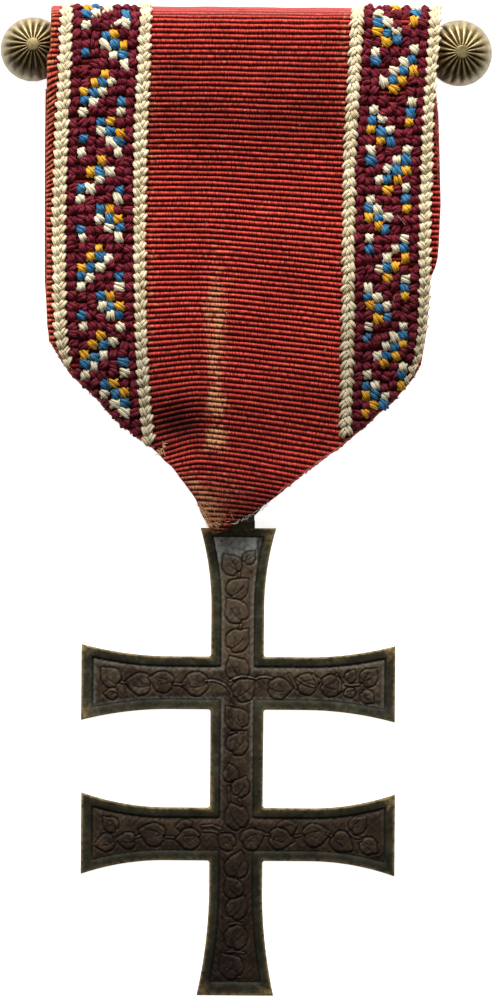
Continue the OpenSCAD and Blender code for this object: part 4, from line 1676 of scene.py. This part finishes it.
@dataclass
class Cross:
    """The cast cross: its body with rim and groove, its panel with the relief, and its lug."""

    arm_half: float = 2.64
    bar_gap: float = 15.1
    corner: float = 0.22
    round_share: float = 0.293
    # The panel's grid, how far its outline lies in, and how far it reaches under the rim
    grid: float = 0.08
    side_inset: float = 1.0
    end_inset: float = 0.88
    overlap: float = 0.12
    # Around the cross against the clock, from the top arm
    arms: tuple[Arm, ...] = (
        Arm(90, 0, 15.5, 3.8, 8, 1.0),
        Arm(180, 0, 15.58, 3.8, 9, 1.35),
        Arm(180, -15.1, 15.5, 4.08, 8.5, 1.3),
        Arm(270, 0, 31.2, 3.84, 11, 1.55),
        Arm(0, -15.1, 15.86, 4.1, 8.5, 1.2),
        Arm(0, 0, 15.78, 3.82, 9, 1.2),
    )
    # Section of the body from its back to the floor of its groove:
    # inset at the sides, inset at the ends, height, how bare it is worn, grime
    section: Table = (
        (0.14, 0.14, 0.0, 0.2, 0.0), (0.0, 0.0, 0.14, 0.5, 0.0), (0.0, 0.0, 1.7, 0.6, 0.0),
        (0.04, 0.04, 1.87, 0.8, 0.0), (0.12, 0.12, 1.95, 0.7, 0.0), (0.22, 0.2, 1.95, 0.1, 0.0),
        (0.5, 0.44, 1.94, 0.0, 0.0), (0.8, 0.7, 1.92, 0.0, 0.0), (0.88, 0.77, 1.88, 0.0, 0.05),
        (0.95, 0.83, 1.78, 0.0, 0.25), (1.0, 0.88, 1.7, 0.0, 0.5), (1.3, 1.15, 1.62, 0.0, 0.85),
    )
    # Places where the rim is rubbed bare: across, along, radius
    rubbed: Table = (
        (3.5, 14.5, 1.1), (-3.6, 15.2, 0.6), (-2.75, 2.75, 0.45), (2.75, 2.75, 0.35), (-15.4, -3.2, 1.0),
        (-15.3, 3.4, 0.7), (15.4, 3.4, 0.8), (15.4, -11.6, 0.7), (-2.7, -12.4, 0.4), (-3.6, -31, 0.9),
        (3.6, -31, 0.9),
    )
    # Place across, place along, size, direction of the tip
    leaves: Table = (
        (-0.62, 11.75, 2.15, 125), (1.05, 12.5, 1.4, 50), (-0.1, 9.35, 2.3, 45), (-0.1, 7.1, 2.5, 125),
        (-0.05, 4.2, 2.45, 48), (0.05, 1.3, 2.5, 122), (0.55, -0.75, 2.45, 42), (0, -3.65, 2.5, 130),
        (0.05, -6.1, 2.4, 55), (-0.55, -9.15, 1.75, 100), (0.4, -10.5, 2, 65), (0.05, -13.5, 2.6, 115),
        (-0.85, -15.9, 1.9, 140), (1.5, -15.6, 2.3, 25), (0.05, -18.4, 2.5, 75), (-0.2, -20.6, 2.1, 120),
        (0.1, -22.6, 2.3, 60), (0.05, -25.5, 2.5, 75), (-0.35, -28.4, 2.6, 125), (-12.6, 0.45, 2.15, 135),
        (-12.5, -1.15, 1.3, 180), (-9.65, -0.15, 2.4, 175), (-7.4, 0.05, 2.3, 165),
        (-4.05, -0.1, 2.55, 185), (4.1, -0.5, 2.3, 0), (6.95, -0.05, 2.3, 15), (9.4, -0.2, 2.35, 350),
        (11.3, 0.7, 1.25, 60), (11.3, -0.85, 1.2, 200), (13.1, 0.6, 1.95, 50), (12.95, -1.25, 1.5, 320),
        (-12.95, -16.05, 1.9, 190), (-12.5, -14.25, 1.7, 135), (-10.8, -15.8, 1.8, 175),
        (-8.2, -15.2, 2.5, 165), (-5.05, -14.4, 1.6, 180), (-4.6, -15.6, 2.3, 185), (4.95, -14.55, 2, 20),
        (4.3, -15.5, 2.3, 350), (7.8, -15.15, 2.5, 10), (10.45, -15.75, 2.25, 325), (12.1, -14.15, 1.9, 45),
        (13.2, -16.15, 1.9, 325),
    )
    # The corners of each stalk; the first three cross the middle of the upper bar
    stalks: tuple[Table, ...] = (
        ((-3.2, 0.2), (-2.5, 0.26), (-1.9, 0.12), (-1.3, -0.15), (-1.0, -0.4)),
        ((-0.75, 0.2), (-0.2, 0.5), (0.4, 0.68), (1.1, 0.64), (1.85, 0.42)),
        ((1.85, 0.42), (2.3, 0.62), (2.9, 0.66), (3.5, 0.5)), ((-0.95, -0.5), (-0.6, -1.0), (-0.43, -1.9)),
        ((5.2, 0.9), (5.6, 0.2), (5.9, -0.5)), ((6.0, 0.5), (6.9, -0.1), (7.7, -0.3)),
        ((7.6, 0.9), (8.0, 0.1)), ((9.9, 0.9), (10.3, 0.2), (10.2, -0.9)),
        ((-6.3, -0.15), (-5.6, -0.2), (-5.2, -0.12)), ((0.1, 10.6), (0.1, 11.0)),
        ((0.35, 5.85), (0.25, 5.4)), ((-0.7, -5.05), (-0.1, -4.85), (0.6, -4.9)),
        ((0.35, -11.6), (0.4, -12.2)), ((-0.75, -10.4), (-0.7, -11.9)),
        ((-3.4, -14.35), (-2.4, -14.25), (-1.5, -14.6)), ((-3.3, -14.8), (-2.3, -14.8), (-1.6, -15.1)),
        ((2.8, -15.1), (3.3, -15.15)), ((5.9, -15.3), (6.4, -15.2)), ((9.1, -15.0), (9.6, -15.3)),
        ((11.3, -14.9), (11.8, -15.3), (12.3, -15.4)), ((-6.2, -15.5), (-7.0, -15.45)),
        ((-9.5, -15.3), (-10.0, -15.5)), ((10.7, 0.0), (11.3, -0.15), (12.2, -0.05)),
        ((-11.1, -0.1), (-11.6, 0.0)), ((0.0, -19.5), (0.1, -19.9)),
        ((-0.6, -24.1), (0.1, -24.0), (0.7, -24.1)), ((-0.8, -26.9), (0.0, -26.8), (0.9, -27.0)),
    )
    # The lug's middle, its thickness and length, the ring's slot in it, and its foot on the arm
    lug: Place = (0.15, 16.5, 1.0)
    lug_size: float = 1.9
    lug_len: float = 2.9
    slot_x: float = -0.25
    slot_half: float = 0.55
    foot_y: float = 15.2
    lug_root: float = 15.52

    def half_at(self, arm: Arm, along: Array, inset: float) -> Array:
        """Half the width of an arm.

        Args:
            arm: The arm.
            along: Ways along it from its crossing.
            inset: How far its sides are drawn in.

        Returns:
            Half the width at each way.
        """
        radius = arm.radius(self.arm_half)
        past = np.clip(along - (arm.length - arm.flare), 0, None)
        return self.arm_half + radius - np.sqrt((radius + inset) ** 2 - past**2)

    def outline(self, inset: float, end_inset: float) -> list[Pair]:
        """The outline against the clock, drawn in.

        Args:
            inset: How far it is drawn in at the sides.
            end_inset: How far it is drawn in at the ends of the arms.

        Returns:
            The corners; their number is the same for any inset.
        """
        half = self.arm_half - inset
        sides: list[list[Array]] = []
        for arm in self.arms:
            straight = arm.length - arm.flare
            start = self.bar_gap + half if arm.turn == 270 else half
            along = np.concatenate(
                [
                    np.linspace(start + self.corner, straight, 4),
                    straight + (arm.flare - arm.lip * end_inset) * np.linspace(0.08, 1, 14),
                ]
            )
            width = self.half_at(arm, along, inset)
            turn = math.radians(arm.turn)
            ahead = np.array([math.cos(turn), math.sin(turn)])
            aside = np.array([math.sin(turn), -math.cos(turn)])
            foot = np.array([0.0, arm.y])
            out = [foot + u * ahead + w * aside for u, w in zip(along, width)]
            back = [foot + u * ahead - w * aside for u, w in zip(along, width)][::-1]
            end = [out[-1] + (back[0] - out[-1]) * share for share in np.linspace(0, 1, 8)[1:-1]]
            sides.append(out + end + back)
        points: list[Array] = []
        for index, side in enumerate(sides):
            points += side
            following = sides[(index + 1) % len(sides)]
            arm, other = self.arms[index], self.arms[(index + 1) % len(sides)]
            points += self.bend(side[-1], following[0], arm, other, half)
        return [(float(point[0]), float(point[1])) for point in points]

    def bend(self, last: Array, first: Array, arm: Arm, other: Arm, half: float) -> list[Array]:
        """The rounded inner corners between two neighbouring arms.

        Args:
            last: The last point of the first arm.
            first: The first point of the next one.
            arm: The first arm.
            other: The next one.
            half: Half the width of both.

        Returns:
            The points between the two arms.
        """
        if arm.turn != other.turn:
            corner = np.array([first[0], last[1]]) if arm.turn in (0, 180) else np.array([last[0], first[1]])
            return [self.rounded(corner, last, first)]
        side = -1 if arm.turn == 180 else 1
        high, low = (-half, -self.bar_gap + half) if side < 0 else (-self.bar_gap + half, -half)
        upper = np.array([side * half, high])
        lower = np.array([side * half, low])
        after = upper + np.array([0, side * self.corner])
        before = lower - np.array([0, side * self.corner])
        middle = (after + before) / 2
        return [self.rounded(upper, last, after), after, middle, before, self.rounded(lower, before, first)]

    def rounded(self, corner: Array, before: Array, after: Array) -> Array:
        """The middle of the rounding of a corner, between the points before and after it."""
        return corner + self.round_share * ((before - corner) + (after - corner))

    def body(self, material: Material) -> Piece:
        """Draws the section round the outline, one extruded loop after the other.

        Args:
            material: The patina of the rim.

        Returns:
            The body of the cross with its lug.
        """
        shape = bmesh.new()
        worn = shape.verts.layers.float.new("worn")
        cut = shape.verts.layers.float.new("cut")
        tone = shape.verts.layers.float.new("tone")
        count = len(self.outline(0.0, 0.0))
        loop = bmesh.ops.create_circle(shape, cap_ends=True, segments=count, radius=1.0)["verts"]
        for step, (inset, end_inset, height, bare, grime) in enumerate(self.section):
            if step:
                loop = self.next_loop(shape, loop)
            for vertex, (x, y) in zip(loop, self.outline(inset, end_inset)):
                vertex.co = (x, y, height)
                vertex[worn] = bare
                vertex[cut] = grime
        last = [shape.edges.get((loop[i - 1], loop[i])) for i in range(count)]
        bmesh.ops.triangle_fill(shape, edges=last, use_beauty=True)
        self.add_lug(shape)
        for vertex in shape.verts:
            x, y, z = vertex.co
            rub = max(1 - math.hypot(x - a, y - b) / radius for a, b, radius in self.rubbed)
            vertex[worn] = min(1.0, vertex[worn] + 1.2 * max(0.0, rub))
            shadow = 0.15 * float(smooth(-2.0, -20.0, np.float64(y)))
            # Painted light on the lug, which lies in the ribbon's cast shadow
            vertex[tone] = 0.05 * math.sin(0.7 * x + 0.4 * y) - shadow + (0.35 if y > self.lug_root else 0.0)
        bmesh.ops.recalc_face_normals(shape, faces=shape.faces)
        return finish_piece("cross_body", shape, material, ["cross"])

    def next_loop(self, shape: Shape, loop: list[Vertex]) -> list[Vertex]:
        """Extrudes a closed loop of edges.

        Args:
            shape: The mesh.
            loop: The vertices of the loop in their order.

        Returns:
            The new vertices in the same order.
        """
        edges = [shape.edges.get((loop[i - 1], loop[i])) for i in range(len(loop))]
        made = bmesh.ops.extrude_edge_only(shape, edges=edges)["geom"]
        fresh = {part for part in made if isinstance(part, Vertex)}
        pairs = {edge.other_vert(vertex): vertex for vertex in fresh for edge in vertex.link_edges}
        return [pairs[vertex] for vertex in loop]

    def add_lug(self, shape: Shape) -> None:
        """Adds the barrel lug on top as two ends with the ring's slot between them.

        Args:
            shape: The mesh.
        """
        x, y, z = self.lug
        size = self.lug_size
        lying = Matrix.Rotation(math.pi / 2, 3, "Y")
        ends = (
            (x - self.lug_len / 2, self.slot_x - self.slot_half),
            (self.slot_x + self.slot_half, x + self.lug_len / 2),
        )
        for low, high in ends:
            middle = (low + high) / 2
            made = bmesh.ops.create_cone(
                shape, cap_ends=True, segments=28, radius1=size / 2, radius2=size / 2, depth=high - low
            )
            bmesh.ops.rotate(shape, cent=(0, 0, 0), matrix=lying, verts=made["verts"])
            bmesh.ops.translate(shape, vec=(middle, y, z), verts=made["verts"])
            round_rims(shape, made["verts"], 0.14)
            foot = (high - low - 0.2, y - self.foot_y, size * 0.8)
            self.add_block(shape, foot, (middle, (y + self.foot_y) / 2, z))
        self.add_block(shape, (1.4, 1.9, 0.25), (self.slot_x, 16.15, z - size / 2 + 0.14))
        self.add_block(shape, (self.lug_len + 0.1, 1.1, size * 0.9), (x, 15.7, z))

    def add_block(self, shape: Shape, size: Place, middle: Place) -> None:
        """Adds a plain block.

        Args:
            shape: The mesh.
            size: Its size along each axis.
            middle: Its middle.
        """
        made = bmesh.ops.create_cube(shape, size=1.0)
        stretch = Matrix.Diagonal(size).to_3x3()
        for vertex in made["verts"]:
            vertex.co = stretch @ vertex.co + Vector(middle)

    def depth(self, x: Array, y: Array) -> Array:
        """How deep places lie inside the panel's outline.

        Args:
            x: Places across.
            y: Places along.

        Returns:
            The depth of each, negative outside.
        """
        far_out = -10.0
        deepest = np.full(x.shape, far_out)
        for arm in self.arms:
            along, aside = seen(x, y - arm.y, arm.turn)
            radius = arm.radius(self.arm_half)
            straight = arm.length - arm.flare
            centre = self.arm_half + radius
            flared = np.hypot(along - straight, centre - np.abs(aside)) - radius
            side = np.where(along > straight, flared, self.arm_half - np.abs(aside))
            inside = np.minimum(side - self.side_inset, arm.length - along - arm.lip * self.end_inset)
            deepest = np.maximum(deepest, np.where(along > -self.arm_half, inside, far_out))
        return deepest

    def panel(self, material: Material) -> Piece:
        """Shapes a fine grid into the panel with its leaves.

        Args:
            material: The patina of the panel.

        Returns:
            The panel.
        """
        width, low, high = 31.4, -31.3, 15.6
        shape = bmesh.new()
        middle = Matrix.Translation((0, (low + high) / 2, 0))
        across, along = round(width / self.grid), round((high - low) / self.grid)
        bmesh.ops.create_grid(
            shape, x_segments=across, y_segments=along, size=0.5,
            matrix=middle @ Matrix.Diagonal((width, high - low, 1, 1)),
        )
        x, y = np.array([vertex.co[:2] for vertex in shape.verts]).T
        inside = self.depth(x, y) >= -self.overlap
        outside = [vertex for vertex, kept in zip(shape.verts, inside) if not kept]
        bmesh.ops.delete(shape, geom=outside, context="VERTS")
        x, y = np.array([vertex.co[:2] for vertex in shape.verts]).T
        relief = Relief(x, y, self.depth(x, y))
        for number, leaf in enumerate(self.leaves):
            relief.lay_leaf(number, leaf)
        relief.shade()
        for number, stalk in enumerate(self.stalks):
            relief.lay_stalk(number, stalk)
        for vertex, height in zip(shape.verts, relief.height()):
            vertex.co.z = height
        write_values(shape, relief.values())
        return finish_piece("cross_panel", shape, material, ["cross"])

    def build(self) -> None:
        """Makes the body and the panel with their patinas."""
        rim = Patina("patina_rim", (0.009, 0.0085, 0.004), (0.0255, 0.025, 0.014), (0.074, 0.071, 0.041))
        brown = Patina("patina_panel", (0.010, 0.0048, 0.003), (0.030, 0.018, 0.0105), (0.10, 0.069, 0.041))
        self.body(rim.material())
        self.panel(brown.material())


@dataclass
class Knob:
    """A ribbed round knob on the end of the hanger bar, with a button in its middle.

    gloom is how dark the painted shade makes its lower half.
    """

    name: str
    node: str
    x: float
    inward: int
    lean: Place
    y: float = 63.15
    z: float = 2.35
    width: float = 6.55
    deep: float = 4.6
    ribs: int = 20
    rib_deep: float = 0.115
    flat_side: float = 2.57
    button: float = 0.67
    gloom: float = 0.45

    def build(self, material: Material) -> Piece:
        """Presses the ribs into a ball, adds the button and cuts the flat inner side.

        Args:
            material: The brass.

        Returns:
            The knob.
        """
        shape = bmesh.new()
        ridge = shape.verts.layers.float.new("ridge")
        dust = shape.verts.layers.float.new("dust")
        bmesh.ops.create_uvsphere(shape, u_segments=self.ribs * 10, v_segments=36, radius=1.0)
        for vertex in shape.verts:
            self.press(vertex, ridge, dust)
        self.add_button(shape, ridge)
        aside = Matrix.Rotation(math.radians(self.lean[1]), 3, "Y")
        back = Matrix.Rotation(math.radians(self.lean[0]), 3, "X")
        bmesh.ops.rotate(shape, cent=(0, 0, 0), matrix=aside @ back, verts=shape.verts)
        cut = bmesh.ops.bisect_plane(
            shape, geom=shape.verts[:] + shape.edges[:] + shape.faces[:],
            plane_co=(self.inward * self.flat_side, 0, 0), plane_no=(self.inward, 0, 0), clear_outer=True,
        )
        rim = [part for part in cut["geom_cut"] if isinstance(part, bmesh.types.BMEdge)]
        bmesh.ops.holes_fill(shape, edges=rim)
        bmesh.ops.translate(shape, vec=(self.x, self.y, self.z), verts=shape.verts)
        bmesh.ops.recalc_face_normals(shape, faces=shape.faces)
        return finish_piece(self.name, shape, material, [self.node])

    def press(self, vertex: Vertex, ridge: Layer, dust: Layer) -> None:
        """Moves a place on a ball of radius 1 to its place on the ribbed knob, dusts it and paints light and
        shade on it.

        Args:
            vertex: The place.
            ridge: The layer that says how high on a rib it lies, with a painted highlight on the upper half
                and painted shade on the lower half.
            dust: The layer that says how dusty it is.
        """
        x, y, z = vertex.co
        away = min(1.0, math.hypot(x, y))
        wave = abs(math.sin(self.ribs * math.atan2(y, x) / 2))
        start = held((away - 0.17) / 0.1)
        fade = held((1.02 - away) / 0.35)
        dip = self.rib_deep * (1 - wave**0.9) * start * fade
        shown = start * (0.3 + 0.7 * fade)
        # Painted highlight: the ridges read broader and brighter on the upper half; painted shade darkens the
        # lower half
        above = float(smooth(-0.3, 0.4, np.float64(y)))
        shadow = self.gloom * held(0.25 - y) * start
        vertex[ridge] = 0.47 + (0.85 * wave ** (2 - above) - 0.5) * shown - shadow
        vertex[dust] = held((away - 0.72) / 0.2)
        vertex.co = Vector((x * self.width, y * self.width, z * self.deep)) / 2 * (1 - dip)

    def add_button(self, shape: Shape, ridge: Layer) -> None:
        """Sets the round button in the middle of the front.

        Args:
            shape: The mesh.
            ridge: The layer that says how bright a place is.
        """
        front = self.deep / 2
        made = bmesh.ops.create_cone(
            shape, cap_ends=True, segments=40, radius1=self.button, radius2=self.button - 0.04, depth=0.4,
            matrix=Matrix.Translation((0, 0, front - 0.09)),
        )
        round_rims(shape, made["verts"], 0.07)
        for vertex in shape.verts:
            if vertex.co.z > front - 0.2 and math.hypot(vertex.co.x, vertex.co.y) < self.button:
                vertex[ridge] = 0.55


@dataclass(frozen=True)
class Lamp:
    """A soft light: its place in metres, the size of its face, and its power in watts."""

    name: str
    place: Place
    size: Pair
    power: float


@dataclass(frozen=True)
class Studio:
    """The pale floor, the soft lights and the camera over the object."""

    # What the picture shows, in mm: its middle, its height and its turn in degrees
    view_middle: Pair = (0.785, 18.306)
    view_height: float = 100.0
    camera_height: float = 1500.0
    roll: float = 0.45
    floor_half: float = 900.0
    floor_z: float = -0.02
    floor_glow: float = 0.88
    sky: float = 0.12
    aim: Place = (0.0, 0.02, 0.0)
    lamps: tuple[Lamp, ...] = (
        Lamp("key", (-0.05, 0.62, 0.36), (0.9, 0.3), 10.0),
        Lamp("fill", (0.1, -0.35, 0.7), (0.5, 0.5), 0.7),
    )

    def floor(self) -> None:
        """Lays a plain pale floor just under the cross."""
        shape = bmesh.new()
        bmesh.ops.create_grid(shape, x_segments=1, y_segments=1, size=self.floor_half)
        bmesh.ops.translate(shape, vec=(0, 18, self.floor_z), verts=shape.verts)
        graph = Graph(
            "floor_white", Base_Color=(0.93, 0.93, 0.93), Roughness=0.9,
            Emission_Color=(1.0, 1.0, 1.0), Emission_Strength=self.floor_glow,
        )
        make_object("floor", shape, graph.material)

    def light(self, lamp: Lamp) -> None:
        """Hangs one soft light that looks at the middle of the object.

        Args:
            lamp: The light.
        """
        data = bpy.data.lights.new(lamp.name, "AREA")
        data.shape = "RECTANGLE"
        data.size, data.size_y = lamp.size
        data.energy = lamp.power
        hung = bpy.data.objects.new(lamp.name, data)
        hung.location = lamp.place
        hung.rotation_euler = (Vector(self.aim) - Vector(lamp.place)).to_track_quat("-Z", "Y").to_euler()
        bpy.context.scene.collection.objects.link(hung)

    def camera(self) -> None:
        """Hangs the camera straight over the object."""
        data = bpy.data.cameras.new("camera")
        data.sensor_width = 36.0
        data.lens = data.sensor_width * self.camera_height / self.view_height
        data.clip_start, data.clip_end = 0.05, 10.0
        camera = bpy.data.objects.new("camera", data)
        camera.location = (self.view_middle[0] * MM, self.view_middle[1] * MM, self.camera_height * MM)
        camera.rotation_euler = (0, 0, math.radians(self.roll))
        bpy.context.scene.collection.objects.link(camera)
        bpy.context.scene.camera = camera

    def build(self) -> None:
        """Sets up floor, world, lights and camera."""
        self.floor()
        world = bpy.data.worlds.new("studio")
        world.use_nodes = True
        background = world.node_tree.nodes["Background"]
        background.inputs["Color"].default_value = (1, 1, 1, 1)
        background.inputs["Strength"].default_value = self.sky
        bpy.context.scene.world = world
        for lamp in self.lamps:
            self.light(lamp)
        bpy.context.scene.view_settings.view_transform = "Standard"
        self.camera()


def dress_kept_nodes() -> None:
    """Gives the kept nodes of the frame their own finishes."""
    finishes = {
        "suspension_ring": PlainMetal("ring_bronze", (0.03, 0.025, 0.014), (0.13, 0.105, 0.06)),
        "hanger_bar": PlainMetal("hanger_brass", (0.12, 0.09, 0.045), (0.32, 0.25, 0.13)),
        "brooch_pin": PlainMetal("pin_steel", (0.16, 0.15, 0.135), (0.38, 0.37, 0.35)),
    }
    for name, finish in finishes.items():
        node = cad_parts[name]
        material = finish.material()
        for slot in node.material_slots:
            slot.material = material
        log.info("%s: new finish", name)


def build_embroidery(belt: Belt, mould: Mesh) -> None:
    """Works both bands of cross-stitch.

    Args:
        belt: The cloth that carries them.
        mould: The strand.
    """
    yarns = {thread: thread.yarn().material() for thread in Thread}
    left_chart = [
        "...BY..", "...CBY.", ".B..CB.", ".C...C.", "...Y...", "..YBC..", ".YBC...", ".BC..B.", ".C...C.",
    ]
    right_chart = [
        ".C...B.", ".BC..Y.", ".YBC...", "..YB...", ".C...C.", ".B..CB.", "...CBY.", "..CBY..", "...Y.C.",
    ]
    left_pitch = 0.9675
    left = Embroidery(
        "stitches_left", "embroidery_left", LEFT_BAND, left_chart,
        64.63 + 3 * left_pitch, left_pitch, 48, start_row=6, seed=3,
        lost=frozenset({(6, 1), (18, 1), (18, 2), (37, 0)}),
        loose=(
            (Thread.CREAM, -12.45, 65.7, 28, 1.5),
            (Thread.CREAM, -13.6, 63.55, -50, 1.65),
            (Thread.CREAM, -11.7, 61.45, -52, 1.5),
            (Thread.CREAM, -12.85, 53.8, -50, 1.4),
        ),
    )
    right = Embroidery(
        "stitches_right", "embroidery_right", RIGHT_BAND, right_chart,
        67.98, 0.9775, 48, start_row=8, plain_rows=(10,), seed=4,
        changed_rows={9: "...Y...", 10: ".....C.", 42: ".YY...."},
        lost=frozenset({(2, 4), (9, 2), (9, 4), (10, 3), (26, 4), (37, 6), (38, 6), (39, 6)}),
        loose=((Thread.YELLOW, 14.3, 64.1, -42, 1.35),),
    )
    left.build(belt, mould, yarns)
    right.build(belt, mould, yarns)


def build_braids(belt: Belt, mould: Mesh) -> None:
    """Lays the four cream braids.

    Args:
        belt: The cloth that carries them.
        mould: The strand.
    """
    cream = Yarn("braid_cream", (0.38, 0.29, 0.145), (0.76, 0.635, 0.41), (0.92, 0.84, 0.61)).material()
    braids = (
        Braid("plait_left_outer", "braid_left_outer", LEFT_OUTER, bulk=0.94, spare=0.1, seed=21),
        Braid("plait_left_inner", "braid_left_inner", LEFT_INNER, bulk=0.9, seed=22),
        Braid("plait_right_inner", "braid_right_inner", RIGHT_INNER, Lean.UP, bulk=0.92, seed=23),
        Braid("plait_right_outer", "braid_right_outer", RIGHT_OUTER, bulk=0.88, spare=0.1, seed=24),
    )
    for braid in braids:
        braid.build(belt, mould, cream)


def main() -> None:
    """Builds the pieces in order and notes the sizes."""
    logging.basicConfig(level=logging.INFO, format="%(message)s")
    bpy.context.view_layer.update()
    Studio().build()
    belt = Belt()
    Cross().build()
    ribbon = Ribbon(belt)
    cloth = ribbon.build()
    mould = StrandMould().mesh()
    build_embroidery(belt, mould)
    build_braids(belt, mould)
    Frays(belt, mould).build()
    brass = AgedBrass("knob_brass").material()
    knobs = (
        Knob("ribbed_knob_left", "knob_left", -20.87, 1, (-11, 0, 0)),
        Knob("ribbed_knob_right", "knob_right", 21.66, -1, (-2, 6, 0), y=63.1, width=6.65, gloom=0.28),
    )
    for knob in knobs:
        knob.build(brass)
    dress_kept_nodes()
    bpy.data.meshes.remove(mould)
    bpy.context.view_layer.update()


if __name__ == "__main__":
    main()
